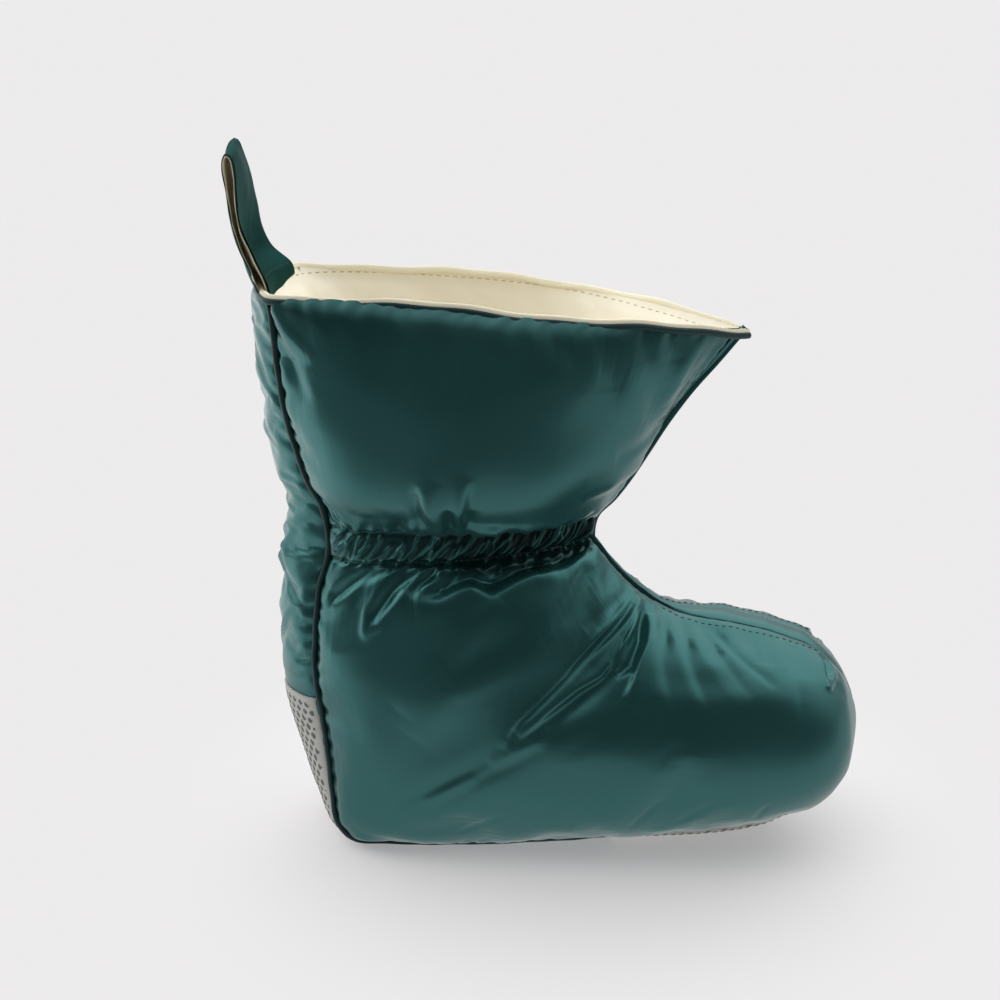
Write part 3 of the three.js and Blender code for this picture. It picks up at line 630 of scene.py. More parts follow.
# Folds given one by one: where each starts and ends as a rib and a place, how high, how wide, how lopsided
panelFolds = [
    # lobes that rise from the elastic, and the dark creases between them
    ((7.3, 1.40), (6.2, 1.39), (5.0, 1.38), 2.9, 5.0, 0.2),
    ((7.0, 1.44), (5.9, 1.45), (4.8, 1.45), 2.7, 4.5, -0.2),
    ((7.8, 1.42), (7.0, 1.425), (6.0, 1.43), -3.8, 2.8, 0.0),
    ((7.5, 1.355), (6.6, 1.36), (5.4, 1.36), -2.4, 3.2, 0.2),
    ((7.8, 1.46), (7.1, 1.465), (6.1, 1.47), -2.4, 3.6, 0.0),
    ((7.9, 1.28), (7.4, 1.30), (6.7, 1.31), -2.0, 3.6, 0.0),
    ((7.8, 1.33), (7.3, 1.34), (6.7, 1.34), 1.4, 3.4, 0.0),
    ((7.9, 1.20), (7.4, 1.21), (6.7, 1.21), -1.0, 4.0, 0.2),
    ((7.9, 1.12), (7.3, 1.07), (6.5, 1.04), -2.0, 3.0, 0.3),
    ((8.0, 1.07), (7.5, 1.03), (7.0, 1.01), -1.6, 2.6, 0.0),
    ((7.9, 1.16), (7.2, 1.12), (6.2, 1.08), 1.4, 3.6, 0.0),
    ((7.8, 1.52), (7.4, 1.52), (6.9, 1.53), 1.2, 4.0, 0.0),
    ((7.9, 1.57), (7.5, 1.57), (7.1, 1.575), -1.6, 3.0, 0.0),
    ((7.9, 1.64), (7.5, 1.65), (7.1, 1.655), -1.5, 2.8, 0.0),
    ((7.9, 1.71), (7.5, 1.72), (7.0, 1.73), -1.6, 3.2, 0.0),
    ((7.9, 1.79), (7.5, 1.80), (7.0, 1.82), -1.4, 3.2, 0.0),
    # leaf-shaped folds that hang below it: a ridge round each and a hollow inside
    (
        (9.25, 1.15), (9.6, 1.11), (10.1, 1.07), (10.6, 1.045),
        (10.5, 1.09), (10.1, 1.17), (9.3, 1.28),
        1.2, 2.7, 0.0,
    ),
    ((9.2, 1.20), (9.7, 1.15), (10.3, 1.08), -2.0, 3.0, 0.0),
    (
        (9.3, 1.30), (9.8, 1.27), (10.5, 1.225), (11.1, 1.22),
        (10.9, 1.265), (10.4, 1.31), (9.9, 1.335),
        1.2, 2.8, 0.0,
    ),
    ((9.2, 1.345), (9.9, 1.30), (10.8, 1.24), -2.8, 3.6, 0.0),
    ((9.2, 1.40), (9.7, 1.37), (10.15, 1.345), -2.4, 2.4, 0.0),
    ((9.2, 1.45), (9.6, 1.44), (10.05, 1.42), -2.2, 2.6, 0.0),
    ((9.1, 1.24), (9.7, 1.21), (10.4, 1.165), -1.2, 2.6, 0.0),
    # the hollow under the elastic, and the bright shoulder of the foot that swells out below it
    (
        (9.35, 1.94), (9.4, 1.83), (9.7, 1.72), (9.5, 1.64),
        (10.05, 1.54), (9.6, 1.49), (10.1, 1.43), (10.1, 1.37),
        -2.6, 3.4, -0.3,
    ),
    (
        (9.75, 1.95), (9.8, 1.84), (10.1, 1.73), (9.9, 1.64),
        (10.45, 1.54), (10.0, 1.48), (10.45, 1.42), (10.45, 1.36),
        2.3, 4.8, -0.45,
    ),
    ((9.15, 1.90), (9.2, 1.76), (9.3, 1.62), (9.3, 1.50), -1.8, 4.0, 0.0),
    # the shaft's swell that hangs over the elastic
    ((7.2, 1.30), (7.25, 1.50), (7.2, 1.70), (7.2, 1.90), 2.2, 5.5, 0.0),
    ((9.2, 1.56), (9.6, 1.545), (10.0, 1.535), -2.4, 3.4, 0.0),
    ((9.15, 1.68), (9.45, 1.66), (9.6, 1.645), -1.6, 3.4, 0.0),
    # the bundle of long folds that starts where the instep seam begins
    ((13.9, 1.95), (14.0, 1.88), (14.4, 1.74), (15.2, 1.62), (15.6, 1.50), (16.3, 1.45), 1.5, 2.2, 0.0),
    ((14.4, 1.89), (14.8, 1.75), (15.1, 1.67), (15.4, 1.59), (15.7, 1.51), (16.2, 1.47), -2.3, 2.2, 0.2),
    ((15.1, 1.90), (16.0, 1.76), (16.6, 1.68), (16.2, 1.63), (16.1, 1.56), (16.2, 1.49), 2.8, 3.4, 0.5),
    ((17.2, 1.70), (17.1, 1.62), (16.8, 1.53), -1.8, 5.0, 0.0),
    ((14.6, 1.93), (15.0, 1.89), (15.8, 1.80), (17.2, 1.705), 2.2, 2.6, 0.0),
    ((15.0, 1.90), (15.7, 1.79), (16.6, 1.715), -2.2, 1.7, 0.0),
    ((15.4, 1.90), (17.2, 1.80), (17.7, 1.73), (17.4, 1.69), -2.4, 2.4, 0.0),
    ((16.4, 1.90), (17.6, 1.81), (18.5, 1.70), (18.7, 1.64), 1.8, 3.2, -0.5),
    ((13.6, 1.93), (13.4, 1.82), (13.6, 1.72), -0.9, 4.0, 0.0),
    # their tails low down on the side
    ((16.5, 1.46), (16.4, 1.38), (16.2, 1.31), (16.0, 1.22), -1.0, 4.2, 0.3),
    ((17.3, 1.49), (17.1, 1.41), (16.9, 1.34), (17.0, 1.24), -0.9, 4.4, 0.0),
    ((17.2, 1.52), (16.9, 1.47), (16.6, 1.41), 1.2, 4.0, 0.0),
    ((16.8, 1.37), (16.6, 1.31), (16.5, 1.26), 0.8, 3.0, 0.0),
    # broad soft swells behind them
    ((13.3, 1.62), (13.2, 1.48), (13.3, 1.41), (14.2, 1.31), 1.7, 9.0, 0.0),
    ((10.7, 1.56), (11.3, 1.50), (12.3, 1.43), (13.4, 1.30), 1.5, 8.0, 0.0),
    ((12.3, 1.60), (12.4, 1.50), (12.7, 1.42), -1.2, 8.0, 0.0),
    # the toe box: ripples below the seam, and the brow where it turns down
    ((16.8, 1.95), (18.2, 1.80), (19.8, 1.66), 0.55, 4.2, 0.0),
    ((17.7, 1.96), (18.9, 1.82), (20.6, 1.64), -0.7, 3.2, 0.0),
    ((18.5, 1.97), (19.6, 1.83), (21.2, 1.66), 0.6, 4.0, 0.0),
    ((19.2, 1.98), (20.3, 1.82), (21.8, 1.64), -0.6, 3.0, 0.0),
    ((19.8, 1.98), (20.9, 1.83), (22.4, 1.68), 0.5, 3.8, 0.0),
    ((20.4, 1.98), (21.6, 1.84), (23.0, 1.70), -0.5, 3.0, 0.0),
    ((20.8, 1.98), (22.4, 1.84), (24.0, 1.74), -0.7, 2.8, -0.3),
    ((24.2, 1.97), (23.9, 1.90), (23.8, 1.82), -0.8, 2.8, 0.0),
    ((18.6, 1.655), (20.2, 1.665), (21.8, 1.665), (23.4, 1.70), (25.0, 1.72), 1.6, 9.0, 0.0),
    # the pocket-shaped fold near the tip
    (
        (26.1, 1.98), (26.35, 1.92), (26.4, 1.84), (26.5, 1.785),
        (26.8, 1.83), (27.1, 1.90), (27.0, 1.97),
        1.5, 1.7, 0.0,
    ),
    ((26.55, 1.96), (26.75, 1.89), (26.6, 1.83), -2.0, 2.2, 0.0),
    # short wrinkles above the sole
    ((21.3, 1.34), (21.1, 1.27), (21.0, 1.19), -0.8, 1.7, 0.0),
    ((22.4, 1.34), (22.1, 1.28), (21.8, 1.20), -0.8, 1.7, 0.0),
    ((24.0, 1.30), (23.8, 1.25), (23.7, 1.19), -0.6, 1.6, 0.0),
    ((18.4, 1.26), (18.3, 1.20), (18.2, 1.14), -0.7, 1.8, 0.0),
    # the collar's back corner and its tip
    ((0.9, 1.02), (1.6, 1.08), (2.4, 1.16), 1.6, 5.0, 0.3),
    ((1.4, 1.01), (2.4, 1.06), (3.4, 1.12), -1.4, 4.5, 0.2),
    ((0.7, 1.86), (1.8, 1.84), (3.2, 1.84), 1.0, 4.5, 0.3),
    ((0.8, 1.92), (2.0, 1.91), (3.6, 1.92), -1.2, 4.0, 0.2),
    ((3.6, 1.985), (4.2, 1.88), (4.6, 1.76), -1.4, 5.0, 0.3),
    ((5.2, 1.985), (5.5, 1.86), (5.8, 1.72), 1.4, 5.5, 0.3),
]


# Ribs and places of a panel's grid, closer together round the elastic
def panelGrid(side):
    fine = np.linspace(0, lastRib, 1600)
    steps = np.diff(lengthsAlong(form(fine, np.full_like(fine, 1.3), side)[None], 1)[0])
    middle = (fine[1:] + fine[:-1]) / 2
    closer, rib, reach = panel["bandRows"]
    closeness = 1 + closer * hump(middle - rib, reach)
    run = np.concatenate([[0], np.cumsum(steps * closeness)])
    at = np.interp(np.linspace(0, run[-1], panel["rows"]), run, fine)
    at = np.concatenate([at, lastRib + np.linspace(0, 1, panel["capRows"] + 1)[1:]])
    place = evenPlaces(1, 2, panel["columns"], lambda p: form(np.full_like(p, 6.0), p, side))
    return np.meshgrid(at, place, indexing="ij")


# How far a panel's cloth moves out when down fills it: the cloth is cut a little larger than the
# form, held at its seams and at the elastic, and blown up. Gives millimetres along the normals.
down = {
    "rows": 120,
    "columns": 84,
    "grow": 0.022,
    "pressure": 4,
    "frames": 20,
    "cap": 2.4,  # the highest swell that is kept
    "calm": 6,  # swells wider than this many cells are left to the listed folds
    "until": 28.4,  # the last rib that moves
}


# A field with each value replaced by the mean of those round it
def blur(field, reach):
    for axis in (0, 1):
        edge = [(reach, reach) if k == axis else (0, 0) for k in (0, 1)]
        wide = np.cumsum(np.pad(field, edge, mode="edge"), axis=axis)
        wide = np.concatenate([np.zeros_like(np.take(wide, [0], axis=axis)), wide], axis=axis)
        n = field.shape[axis]
        span = 2 * reach + 1
        field = (np.take(wide, range(span, span + n), axis=axis) - np.take(wide, range(n), axis=axis)) / span
    return field


def blownUp(start, ups, held):
    rows, columns = start.shape[:2]
    index = np.arange(rows * columns).reshape(rows, columns)
    quads = np.stack([index[:-1, :-1], index[:-1, 1:], index[1:, 1:], index[1:, :-1]], axis=-1).reshape(-1, 4)
    facing = np.cross(start[1, 0] - start[0, 0], start[0, 1] - start[0, 0]) @ ups[0, 0]
    if facing > 0:
        quads = quads[:, ::-1]
    mesh = bpy.data.meshes.new("downCloth")
    mesh.from_pydata((start.reshape(-1, 3) * mm).tolist(), [], quads.tolist())
    trial = bpy.data.objects.new("downCloth", mesh)
    scene.collection.objects.link(trial)
    group = trial.vertex_groups.new(name="held")
    group.add([int(i) for i in index[held]], 1.0, "REPLACE")
    puff = trial.modifiers.new("down", "CLOTH")
    puff.settings.quality = 5
    puff.settings.mass = 0.2
    puff.settings.tension_stiffness = puff.settings.compression_stiffness = 15
    puff.settings.bending_stiffness = 0.8
    puff.settings.use_pressure = True
    puff.settings.uniform_pressure_force = down["pressure"]
    puff.settings.vertex_group_mass = "held"
    puff.settings.shrink_min = -down["grow"]
    puff.settings.effector_weights.gravity = 0
    puff.collision_settings.use_collision = False
    puff.point_cache.frame_start = 1
    puff.point_cache.frame_end = down["frames"]
    for step in range(1, down["frames"] + 1):
        scene.frame_set(step)
    shape = trial.evaluated_get(bpy.context.evaluated_depsgraph_get()).to_mesh()
    found = np.empty(rows * columns * 3, np.float32)
    shape.vertices.foreach_get("co", found)
    moved = found.reshape(rows, columns, 3) / mm - start
    bpy.data.objects.remove(trial)
    bpy.data.meshes.remove(mesh)
    scene.frame_set(1)
    return np.einsum("ijk,ijk->ij", moved, ups)


# How far cloth dips towards a seam: 1 on it, 0 beyond its reach
def seamProfile(distance, reach):
    q = np.clip(distance / reach, 0, 1)
    return 1 - np.sqrt(1 - (1 - q) ** 2)


# One panel with all its relief, and the painted shade for its colour
def panelSurface(side):
    at, place = panelGrid(side)
    base = form(at, place, side)
    ups = normalsOf(base, side)
    # at its seams the panel faces the way the seam does
    fromBack = lengthsAlong(base, 1)
    fromFront = fromBack[:, -1:] - fromBack
    fromCollar = lengthsAlong(base, 0)
    fromToe = fromCollar[-1:] - fromCollar
    for edge, distance in ((1.0, fromBack), (2.0, fromFront)):
        facing = seamFacing(np.minimum(at[:, :1], lastRib), edge, side)
        ups = mix(ups, facing, (1 - smooth(0, panel["turnWithin"], distance))[..., None])
    ups = unit(ups)
    nearest = np.minimum(np.minimum(fromBack, fromFront), fromToe)
    byFront = smooth(-6, 6, np.minimum(fromBack, fromToe) - fromFront)
    onToe = np.maximum(byFront * smooth(15, 17.5, at), smooth(25.8, 28, at))
    seamDepth = mix(panel["seamDepth"], panel["toeSeamDepth"], onToe)
    relief = -seamDepth * seamProfile(nearest, panel["seamReach"])
    # puckers
    alongBack = lengthsAlong(base[:, :1], 0) + 0 * fromBack
    alongFront = lengthsAlong(base[:, -1:], 0) + 0 * fromBack
    alongTop = lengthsAlong(base[:1], 1) + 0 * fromBack
    awayBand = np.minimum(abs(at - panel["bandTop"]), abs(at - panel["bandBottom"]))
    clear = smooth(0, 0.8, awayBand)
    onFoot = mix(1, 0.15, smooth(14, 18, at))
    relief += clear * puckers(alongBack, fromBack, *panel["backPuckers"])
    relief += clear * onFoot * puckers(alongFront, fromFront, *panel["topPuckers"])
    relief += puckers(alongTop, fromCollar, *panel["collarPuckers"])
    # the elastic: a band that puffs between two stitched rows, gathered all along
    top, bottom = panel["bandTop"], panel["bandBottom"]
    v = (at - (top + bottom) / 2) / ((bottom - top) / 2)
    inBand = 1 - smooth(0.8, 1.25, abs(v))
    stitch = hump(abs(v) - 1, 0.14)
    relief += panel["bandPuff"] * inBand * np.clip(1 - v * v, 0, 1) - 1.2 * stitch
    sink = panel["bandSink"] * smooth(1.12, 1.6, place) * (1 - smooth(0.8, 1.6, abs(v)))
    relief -= sink * smooth(2, 12, nearest)
    ends = smooth(2, 8, fromBack) * smooth(2, 10, fromFront)
    pick = np.random.default_rng(64)
    pitch, height, wide = panel["gathers"]
    gather = np.zeros_like(relief)
    rowsHere = slice(int(np.argmax(v[:, 0] > -1.6)), int(np.argmax(v[:, 0] > 1.6)))
    run, part = fromBack[rowsHere], v[rowsHere]
    start = 1.0
    while start < fromBack[rowsHere].max():
        lean = panel["gatherLean"] * pick.uniform(0.55, 1.5)
        first, last = sorted(pick.uniform(-1.25, 1.25, 2))
        first, last = first - 0.35, last + 0.35
        line = start - lean * 8 * part + 0.6 * np.sin(3 * part + start)
        tall = height * pick.uniform(0.5, 1.5)
        within = smooth(first - 0.25, first + 0.25, part) * (1 - smooth(last - 0.25, last + 0.25, part))
        gather[rowsHere] += tall * within * hump(run - line, wide * pick.uniform(0.8, 1.3))
        start += pitch * pick.uniform(0.35, 1.1)
    relief += (gather - 0.5 * height) * (1 - smooth(1.0, 1.35, abs(v))) * ends
    # wider gathers that run on above and below
    for reachV, turn, size, seed in ((2.0, -1, 0.8, 5), (1.5, 1, 0.6, 8)):
        beyond = np.clip(v * turn - 1, 0, None)
        run = fromBack + turn * panel["gatherLean"] * 6 * beyond
        wave = np.cos(2 * math.pi * run / 8.5 + 1.2 * np.sin(run / 13 + seed) + seed)
        relief += size * wave * hump(beyond, reachV / 2) * smooth(0, 0.3, beyond) * ends
    last = int(np.argmax(at[:, 0] > down["until"]))
    rowsTaken = np.unique(np.linspace(0, last, down["rows"]).astype(int))
    columnsTaken = np.unique(np.linspace(0, relief.shape[1] - 1, down["columns"]).astype(int))
    few = np.ix_(rowsTaken, columnsTaken)
    start = base + ups * (relief - gather - 0.6)[..., None]
    held = (fromBack < 0.5) | (fromFront < 0.5) | (fromCollar < 0.5) | (abs(v) < 1.1)
    held[last] = True
    moved = blownUp(start[few], ups[few], held[few])
    print("cloth of", side, "moved", moved.min().round(2), moved.max().round(2), moved.std().round(2))
    moved = moved - 0.8 * blur(blur(moved, down["calm"]), down["calm"])
    moved = down["cap"] * np.tanh(blur(moved, 1) / down["cap"])
    upRows = [np.interp(np.arange(len(relief)), rowsTaken, column, right=0) for column in moved.T]
    upAll = [np.interp(np.arange(relief.shape[1]), columnsTaken, row) for row in np.stack(upRows, axis=1)]
    within = smooth(0.5, 5, nearest) * smooth(down["until"], down["until"] - 0.8, at)
    relief += panel["swellShare"] * np.stack(upAll) * within
    # slow swells of the down
    pick = np.random.default_rng(21)
    count, tall = panel["slowSwells"]
    for _ in range(count):
        turn, size = pick.uniform(0, math.pi), pick.uniform(38, 90)
        run = base[..., 0] * math.cos(turn) + base[..., 2] * math.sin(turn)
        relief += tall * np.sin(2 * math.pi * run / size + pick.uniform(0, 6)) * smooth(4, 18, nearest)
    for *path, height, width, lean in panelFolds:
        ends = np.array(path)
        spine = np.linspace(0, 1, 4 * len(path))
        u, w = [np.interp(spine, np.linspace(0, 1, len(path)), ends[:, k]) for k in (0, 1)]
        relief += crease(base, ups, form(u, w, side), height, width, -side * lean, 0.45)
    # painted shade for the satin's colour: darker in the troughs between the elastic's gathers, in the hollow
    # under the elastic at the front, and towards the collar
    betweenGathers = smooth(0.6, -0.4, gather - panel["paintedShadeBelow"])
    paintedShade = (1 - smooth(1.0, 1.5, abs(v))) * betweenGathers * mix(0.5, 1, smooth(1.15, 1.6, place))
    paintedShade = np.maximum(paintedShade, 0.85 * np.clip(1 - ((v - 1.5) / 0.7) ** 2, 0, 1) * smooth(1.35, 1.5, place))
    paintedShade = np.maximum(paintedShade, panel["collarPaintedShade"] * smooth(2.6, 0.4, at))
    points = base + ups * relief[..., None]
    uv = np.stack([fromBack, fromCollar], axis=-1) * mm
    return {"at": at, "place": place, "points": points, "ups": ups, "uv": uv, "paintedShade": paintedShade}


# A row of stitches: short spindles of thread along a line on the cloth
def stitchRow(name, line, ups, pitch, length, radius, material, slotName, node):
    run = lengthsAlong(line[None], 1)[0]
    places = np.arange(pitch, run[-1] - pitch, pitch)

    def along(distance, values):
        return np.stack([np.interp(distance, run, values[:, k]) for k in range(3)], axis=-1)

    middle, up = along(places, line), along(places, ups)
    ahead = along(places + length / 2, line) - along(places - length / 2, line)
    ahead, up = unit(ahead), unit(up)
    aside = np.cross(ahead, up)
    corners = [middle - ahead * length / 2]
    for shift in (-0.28, 0.28):
        for a, b in ((1, 0), (0, 1), (-1, 0), (0, -1)):
            corners.append(middle + ahead * length * shift + (up * a + aside * b) * radius)
    corners.append(middle + ahead * length / 2)
    faces = []
    for k in range(4):
        n = (k + 1) % 4
        faces += [(0, 1 + n, 1 + k), (1 + k, 1 + n, 5 + n), (1 + k, 5 + n, 5 + k), (5 + k, 5 + n, 9)]
    points = np.stack(corners, axis=1)
    triangles = (np.array(faces)[None] + 10 * np.arange(len(places))[:, None, None]).reshape(-1, 3)
    piece = pieceFromFaces(name, points.reshape(-1, 3), triangles, material)
    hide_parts(node)
    return piece


stitches = {  # pitch, length and radius of each row's stitches
    "band": (2.7, 1.9, 0.42),
    "toe": (3.6, 2.3, 0.3),
    "hem": (4.2, 2.6, 0.32),
    "loop": (3.2, 2.2, 0.3),
}
for side, name in ((1, "panel_left"), (-1, "panel_right")):
    made = panelSurface(side)
    piece = makePiece(name, made["points"], satin, uv=made["uv"], flip=side > 0)
    # the painted shade, kept on the mesh for the satin to darken its colour by
    shade = piece.data.attributes.new("paintedShade", "FLOAT", "POINT")
    shade.data.foreach_set("value", np.clip(made["paintedShade"], 0, 1).astype(np.float32).ravel())
    weld(piece)
    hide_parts("upper")
    end = name.split("_")[1]
    for label, row in (("upper", panel["bandTop"]), ("lower", panel["bandBottom"])):
        k = int(np.argmin(abs(made["at"][:, 0] - row)))
        line, lineUps = made["points"][k, 4:-4], made["ups"][k, 4:-4]
        label = "band_stitches_" + label + "_" + end
        stitchRow(label, line, lineUps, *stitches["band"], satin, "shell", "upper")
    toePlace, first, last = panel["toeStitches"]
    k = int(np.argmin(abs(made["place"][0] - toePlace)))
    rowsHere = (made["at"][:, k] > first) & (made["at"][:, k] < last)
    line, lineUps = made["points"][rowsHere, k], made["ups"][rowsHere, k]
    stitchRow("toe_stitches_" + end, line, lineUps, *stitches["toe"], thread, "trim", "upper")
print("side panels made")

# The strip down the back, under the foot and up over the toe, and the seam on from it to the collar
strip = {
    "rows": 420,
    "tipRows": 9,
    "topRows": 330,
    "halfColumns": 22,
    "seamDepth": 3.6,
    "seamReach": 8,
    "puckers": (11, 1.2, 9),  # pitch, height and reach
    "puckerWidth": 0.24,
    "toePuckers": 0.2,
    "toeSeam": 0.4,  # how deep the seams are on the toe, as a share
    "wrinkles": 100,
    "wrinkleHeight": 1.5,
    "swellShare": 1.0,
    "middleCrease": 0.5,
    "puffUntil": 12.4,  # the rib where the heel patch begins
}


# The strip's grid: down the back, under the foot, round the tip and back over the toe
def stripSurface():
    half = np.sin(np.linspace(0, math.pi / 2, strip["halfColumns"]))
    share = np.concatenate([-half[:0:-1], half])
    side = np.where(share < 0, -1, 1)
    at = evenPlaces(0, lastRib, strip["rows"], lambda a: form(a, np.zeros_like(a), 1))
    low = form(at[:, None], abs(share)[None], side)
    atTop = evenPlaces(0, lastRib, strip["topRows"], lambda a: form(a, np.full_like(a, 3.0), 1))[::-1]
    top = form(atTop[:, None], (3 - abs(share))[None], side)
    v = np.linspace(0, 1, strip["tipRows"] + 2)[1:-1, None, None]
    tip = mix(low[-1][None], top[0][None], v)
    tip[..., 0] += (toeX - tip[..., 0]) * 4 * v[..., 0] * (1 - v[..., 0])
    rows = np.concatenate([low, tip, top])
    return share, rows, len(at), np.concatenate([at, np.full(len(tip), lastRib), atTop + 30])[:, None]


share, base, lowRows, stripAt = stripSurface()
ups = normalsOf(base, 1)
centre = len(share) // 2
across = lengthsAlong(base, 1)
fromEdge = np.minimum(across, across[:, -1:] - across)
alongStrip = lengthsAlong(base[:, centre : centre + 1], 0) + 0 * across
widthHere = across[:, -1:]
loft = smooth(4, 16, widthHere)
onToe = smooth(lowRows * 0.8, lowRows, np.arange(len(base)))[:, None]
loft = loft * mix(1, strip["toePuckers"], onToe)
relief = -strip["seamDepth"] * seamProfile(fromEdge, np.minimum(strip["seamReach"], widthHere / 2))
relief *= mix(1, strip["toeSeam"], onToe * smooth(3, 10, widthHere))
for half, seed in ((share < 0, 31), (share >= 0, 32)):
    relief += loft * half * puckers(alongStrip, fromEdge, *strip["puckers"], seed, strip["puckerWidth"])
# smooth under the patches and on the floor
calm = 1 - 0.9 * smooth(12.2, 13, stripAt) * smooth(27, 26, stripAt)
pick = np.random.default_rng(40)
acrossMiddle = across - widthHere / 2
for _ in range(strip["wrinkles"]):
    where, off = pick.uniform(0, alongStrip[lowRows - 1, 0]), pick.uniform(-20, 20)
    turn, wide, long = pick.uniform(-1.1, 1.1), pick.uniform(1.7, 3.8), pick.uniform(7, 22)
    du = (alongStrip - where) * math.cos(turn) - (acrossMiddle - off) * math.sin(turn)
    dv = (alongStrip - where) * math.sin(turn) + (acrossMiddle - off) * math.cos(turn)
    tall = strip["wrinkleHeight"] * pick.uniform(0.4, 1.2) * (-1 if pick.random() < 0.5 else 1)
    relief += calm * loft * tall * hump(du, wide) * hump(dv, long)
relief -= loft * strip["middleCrease"] * hump(acrossMiddle, 1.6)
edgeUps = ups.copy()
for column, edgeSide in ((0, -1), (len(share) - 1, 1)):
    distance = abs(across[:lowRows] - across[:lowRows, column : column + 1])
    weight = (1 - smooth(0, panel["turnWithin"], distance))[..., None]
    facing = seamFacing(stripAt[:lowRows, 0], 1.0, edgeSide)[:, None]
    edgeUps[:lowRows] = mix(edgeUps[:lowRows], facing, weight)
edgeUps = unit(edgeUps)
rowsTaken = np.arange(0, int(np.argmax(stripAt[:, 0] > strip["puffUntil"])), 2)
start = (base + edgeUps * relief[..., None])[rowsTaken]
held = fromEdge[rowsTaken] < 0.5
held[0] = held[-1] = True
moved = blownUp(start, edgeUps[rowsTaken], held)
print("cloth of the strip moved", moved.min().round(2), moved.max().round(2), moved.std().round(2))
moved = down["cap"] * np.tanh((moved - 0.8 * blur(blur(moved, 4), 4)) / down["cap"])
rowsBack = np.arange(rowsTaken[-1] + 1)
upAll = np.stack([np.interp(rowsBack, rowsTaken, column) for column in moved.T], axis=1)
relief[rowsBack] += strip["swellShare"] * upAll
stripPoints = base + edgeUps * relief[..., None]
stripUv = np.stack([across, alongStrip], axis=-1) * mm
centreStrip = makePiece("centre_strip", stripPoints, satin, uv=stripUv, flip=True)
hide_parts("upper", "sole")
print("centre strip made")

# The lining, which is also the inside of the foot
inside = {
    "rows": 150,
    "waistGap": 5.5,
    "waistRibs": (8.5, 0.9),  # where the gap is widest, and how far it reaches
    "swell": 1.7,
    "hemDepth": 7.5,
    "capDepth": 2,
}


# Points of the form's inside
def innerForm(at, place, side):
    at, place = np.broadcast_arrays(np.asarray(at, float), np.asarray(place, float))
    rib = ribAt(np.minimum(at, lastRib - 0.2))
    waist, reach = inside["waistRibs"]
    gap = inside["waistGap"] * hump(at - waist, reach)
    return ribPoints(drawnIn(rib, rib["wall"] + gap, rib["floorWall"] + gap), place, side)


def liningSurface():
    at = evenPlaces(0, lastRib - 1, inside["rows"], lambda a: innerForm(a, np.full_like(a, 1.3), 1))
    between = evenPlaces(1, 2, 42, lambda p: innerForm(0 * p, p, 1))
    place = np.concatenate([np.linspace(0, 1, 16)[:-1], between, [2.5]])
    left = innerForm(at[:, None], place[None], 1)
    right = innerForm(at[:, None], place[None], -1)
    ring = np.concatenate([left, innerForm(at, np.full_like(at, 3.0), 1)[:, None], right[:, :0:-1]], axis=1)
    middle = ring[-1].mean(0)
    cap = []
    for k in (0.35, 0.7, 0.999):
        ahead = np.array([inside["capDepth"] * math.sin(k * math.pi / 2), 0, 0])
        cap.append(mix(ring[-1], middle, k) + ahead)
    return np.concatenate([ring, np.array(cap)])


liningPoints = liningSurface()
depthIn = lengthsAlong(liningPoints, 0)
around = lengthsAlong(liningPoints, 1)
inward = -normalsOf(liningPoints, 1)
soft = np.zeros_like(depthIn)
pick = np.random.default_rng(52)
place = 14.0
while place < around[0, -1] - 10:
    wide, tall = pick.uniform(4, 9), pick.uniform(0.5, 1.6)
    lean = pick.uniform(-0.25, 0.25)
    fold = tall * hump(around - place - lean * depthIn, wide)
    soft += fold * smooth(4, 16, depthIn) * hump(depthIn, 90)
    place += pick.uniform(12, 30)
hemLine = hump(depthIn - inside["hemDepth"], 1.1)
soft -= 0.5 * hemLine
liningPoints = liningPoints + inward * (soft * inside["swell"])[..., None]
liningPiece = makePiece(
    "lining", liningPoints, lining, closedAcross=True, uv=np.stack([around, depthIn], axis=-1) * mm
)
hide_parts("upper")
hemRow = int(np.argmin(abs(depthIn[:, 40] - inside["hemDepth"])))
line, lineUps = liningPoints[hemRow], inward[hemRow]
stitchRow("hem_stitches", line, lineUps, *stitches["hem"], hemThread, "footbed", "upper")
print("lining made")


# A long piece with the same section all along, from rings of points
def ringPiece(name, rings, material, node):
    rings = np.asarray(rings)
    uv = np.stack([lengthsAlong(rings, 1), lengthsAlong(rings, 0)], axis=-1) * mm
    piece = makePiece(name, rings, material, closedAcross=True, uv=uv)
    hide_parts(node)
    return piece


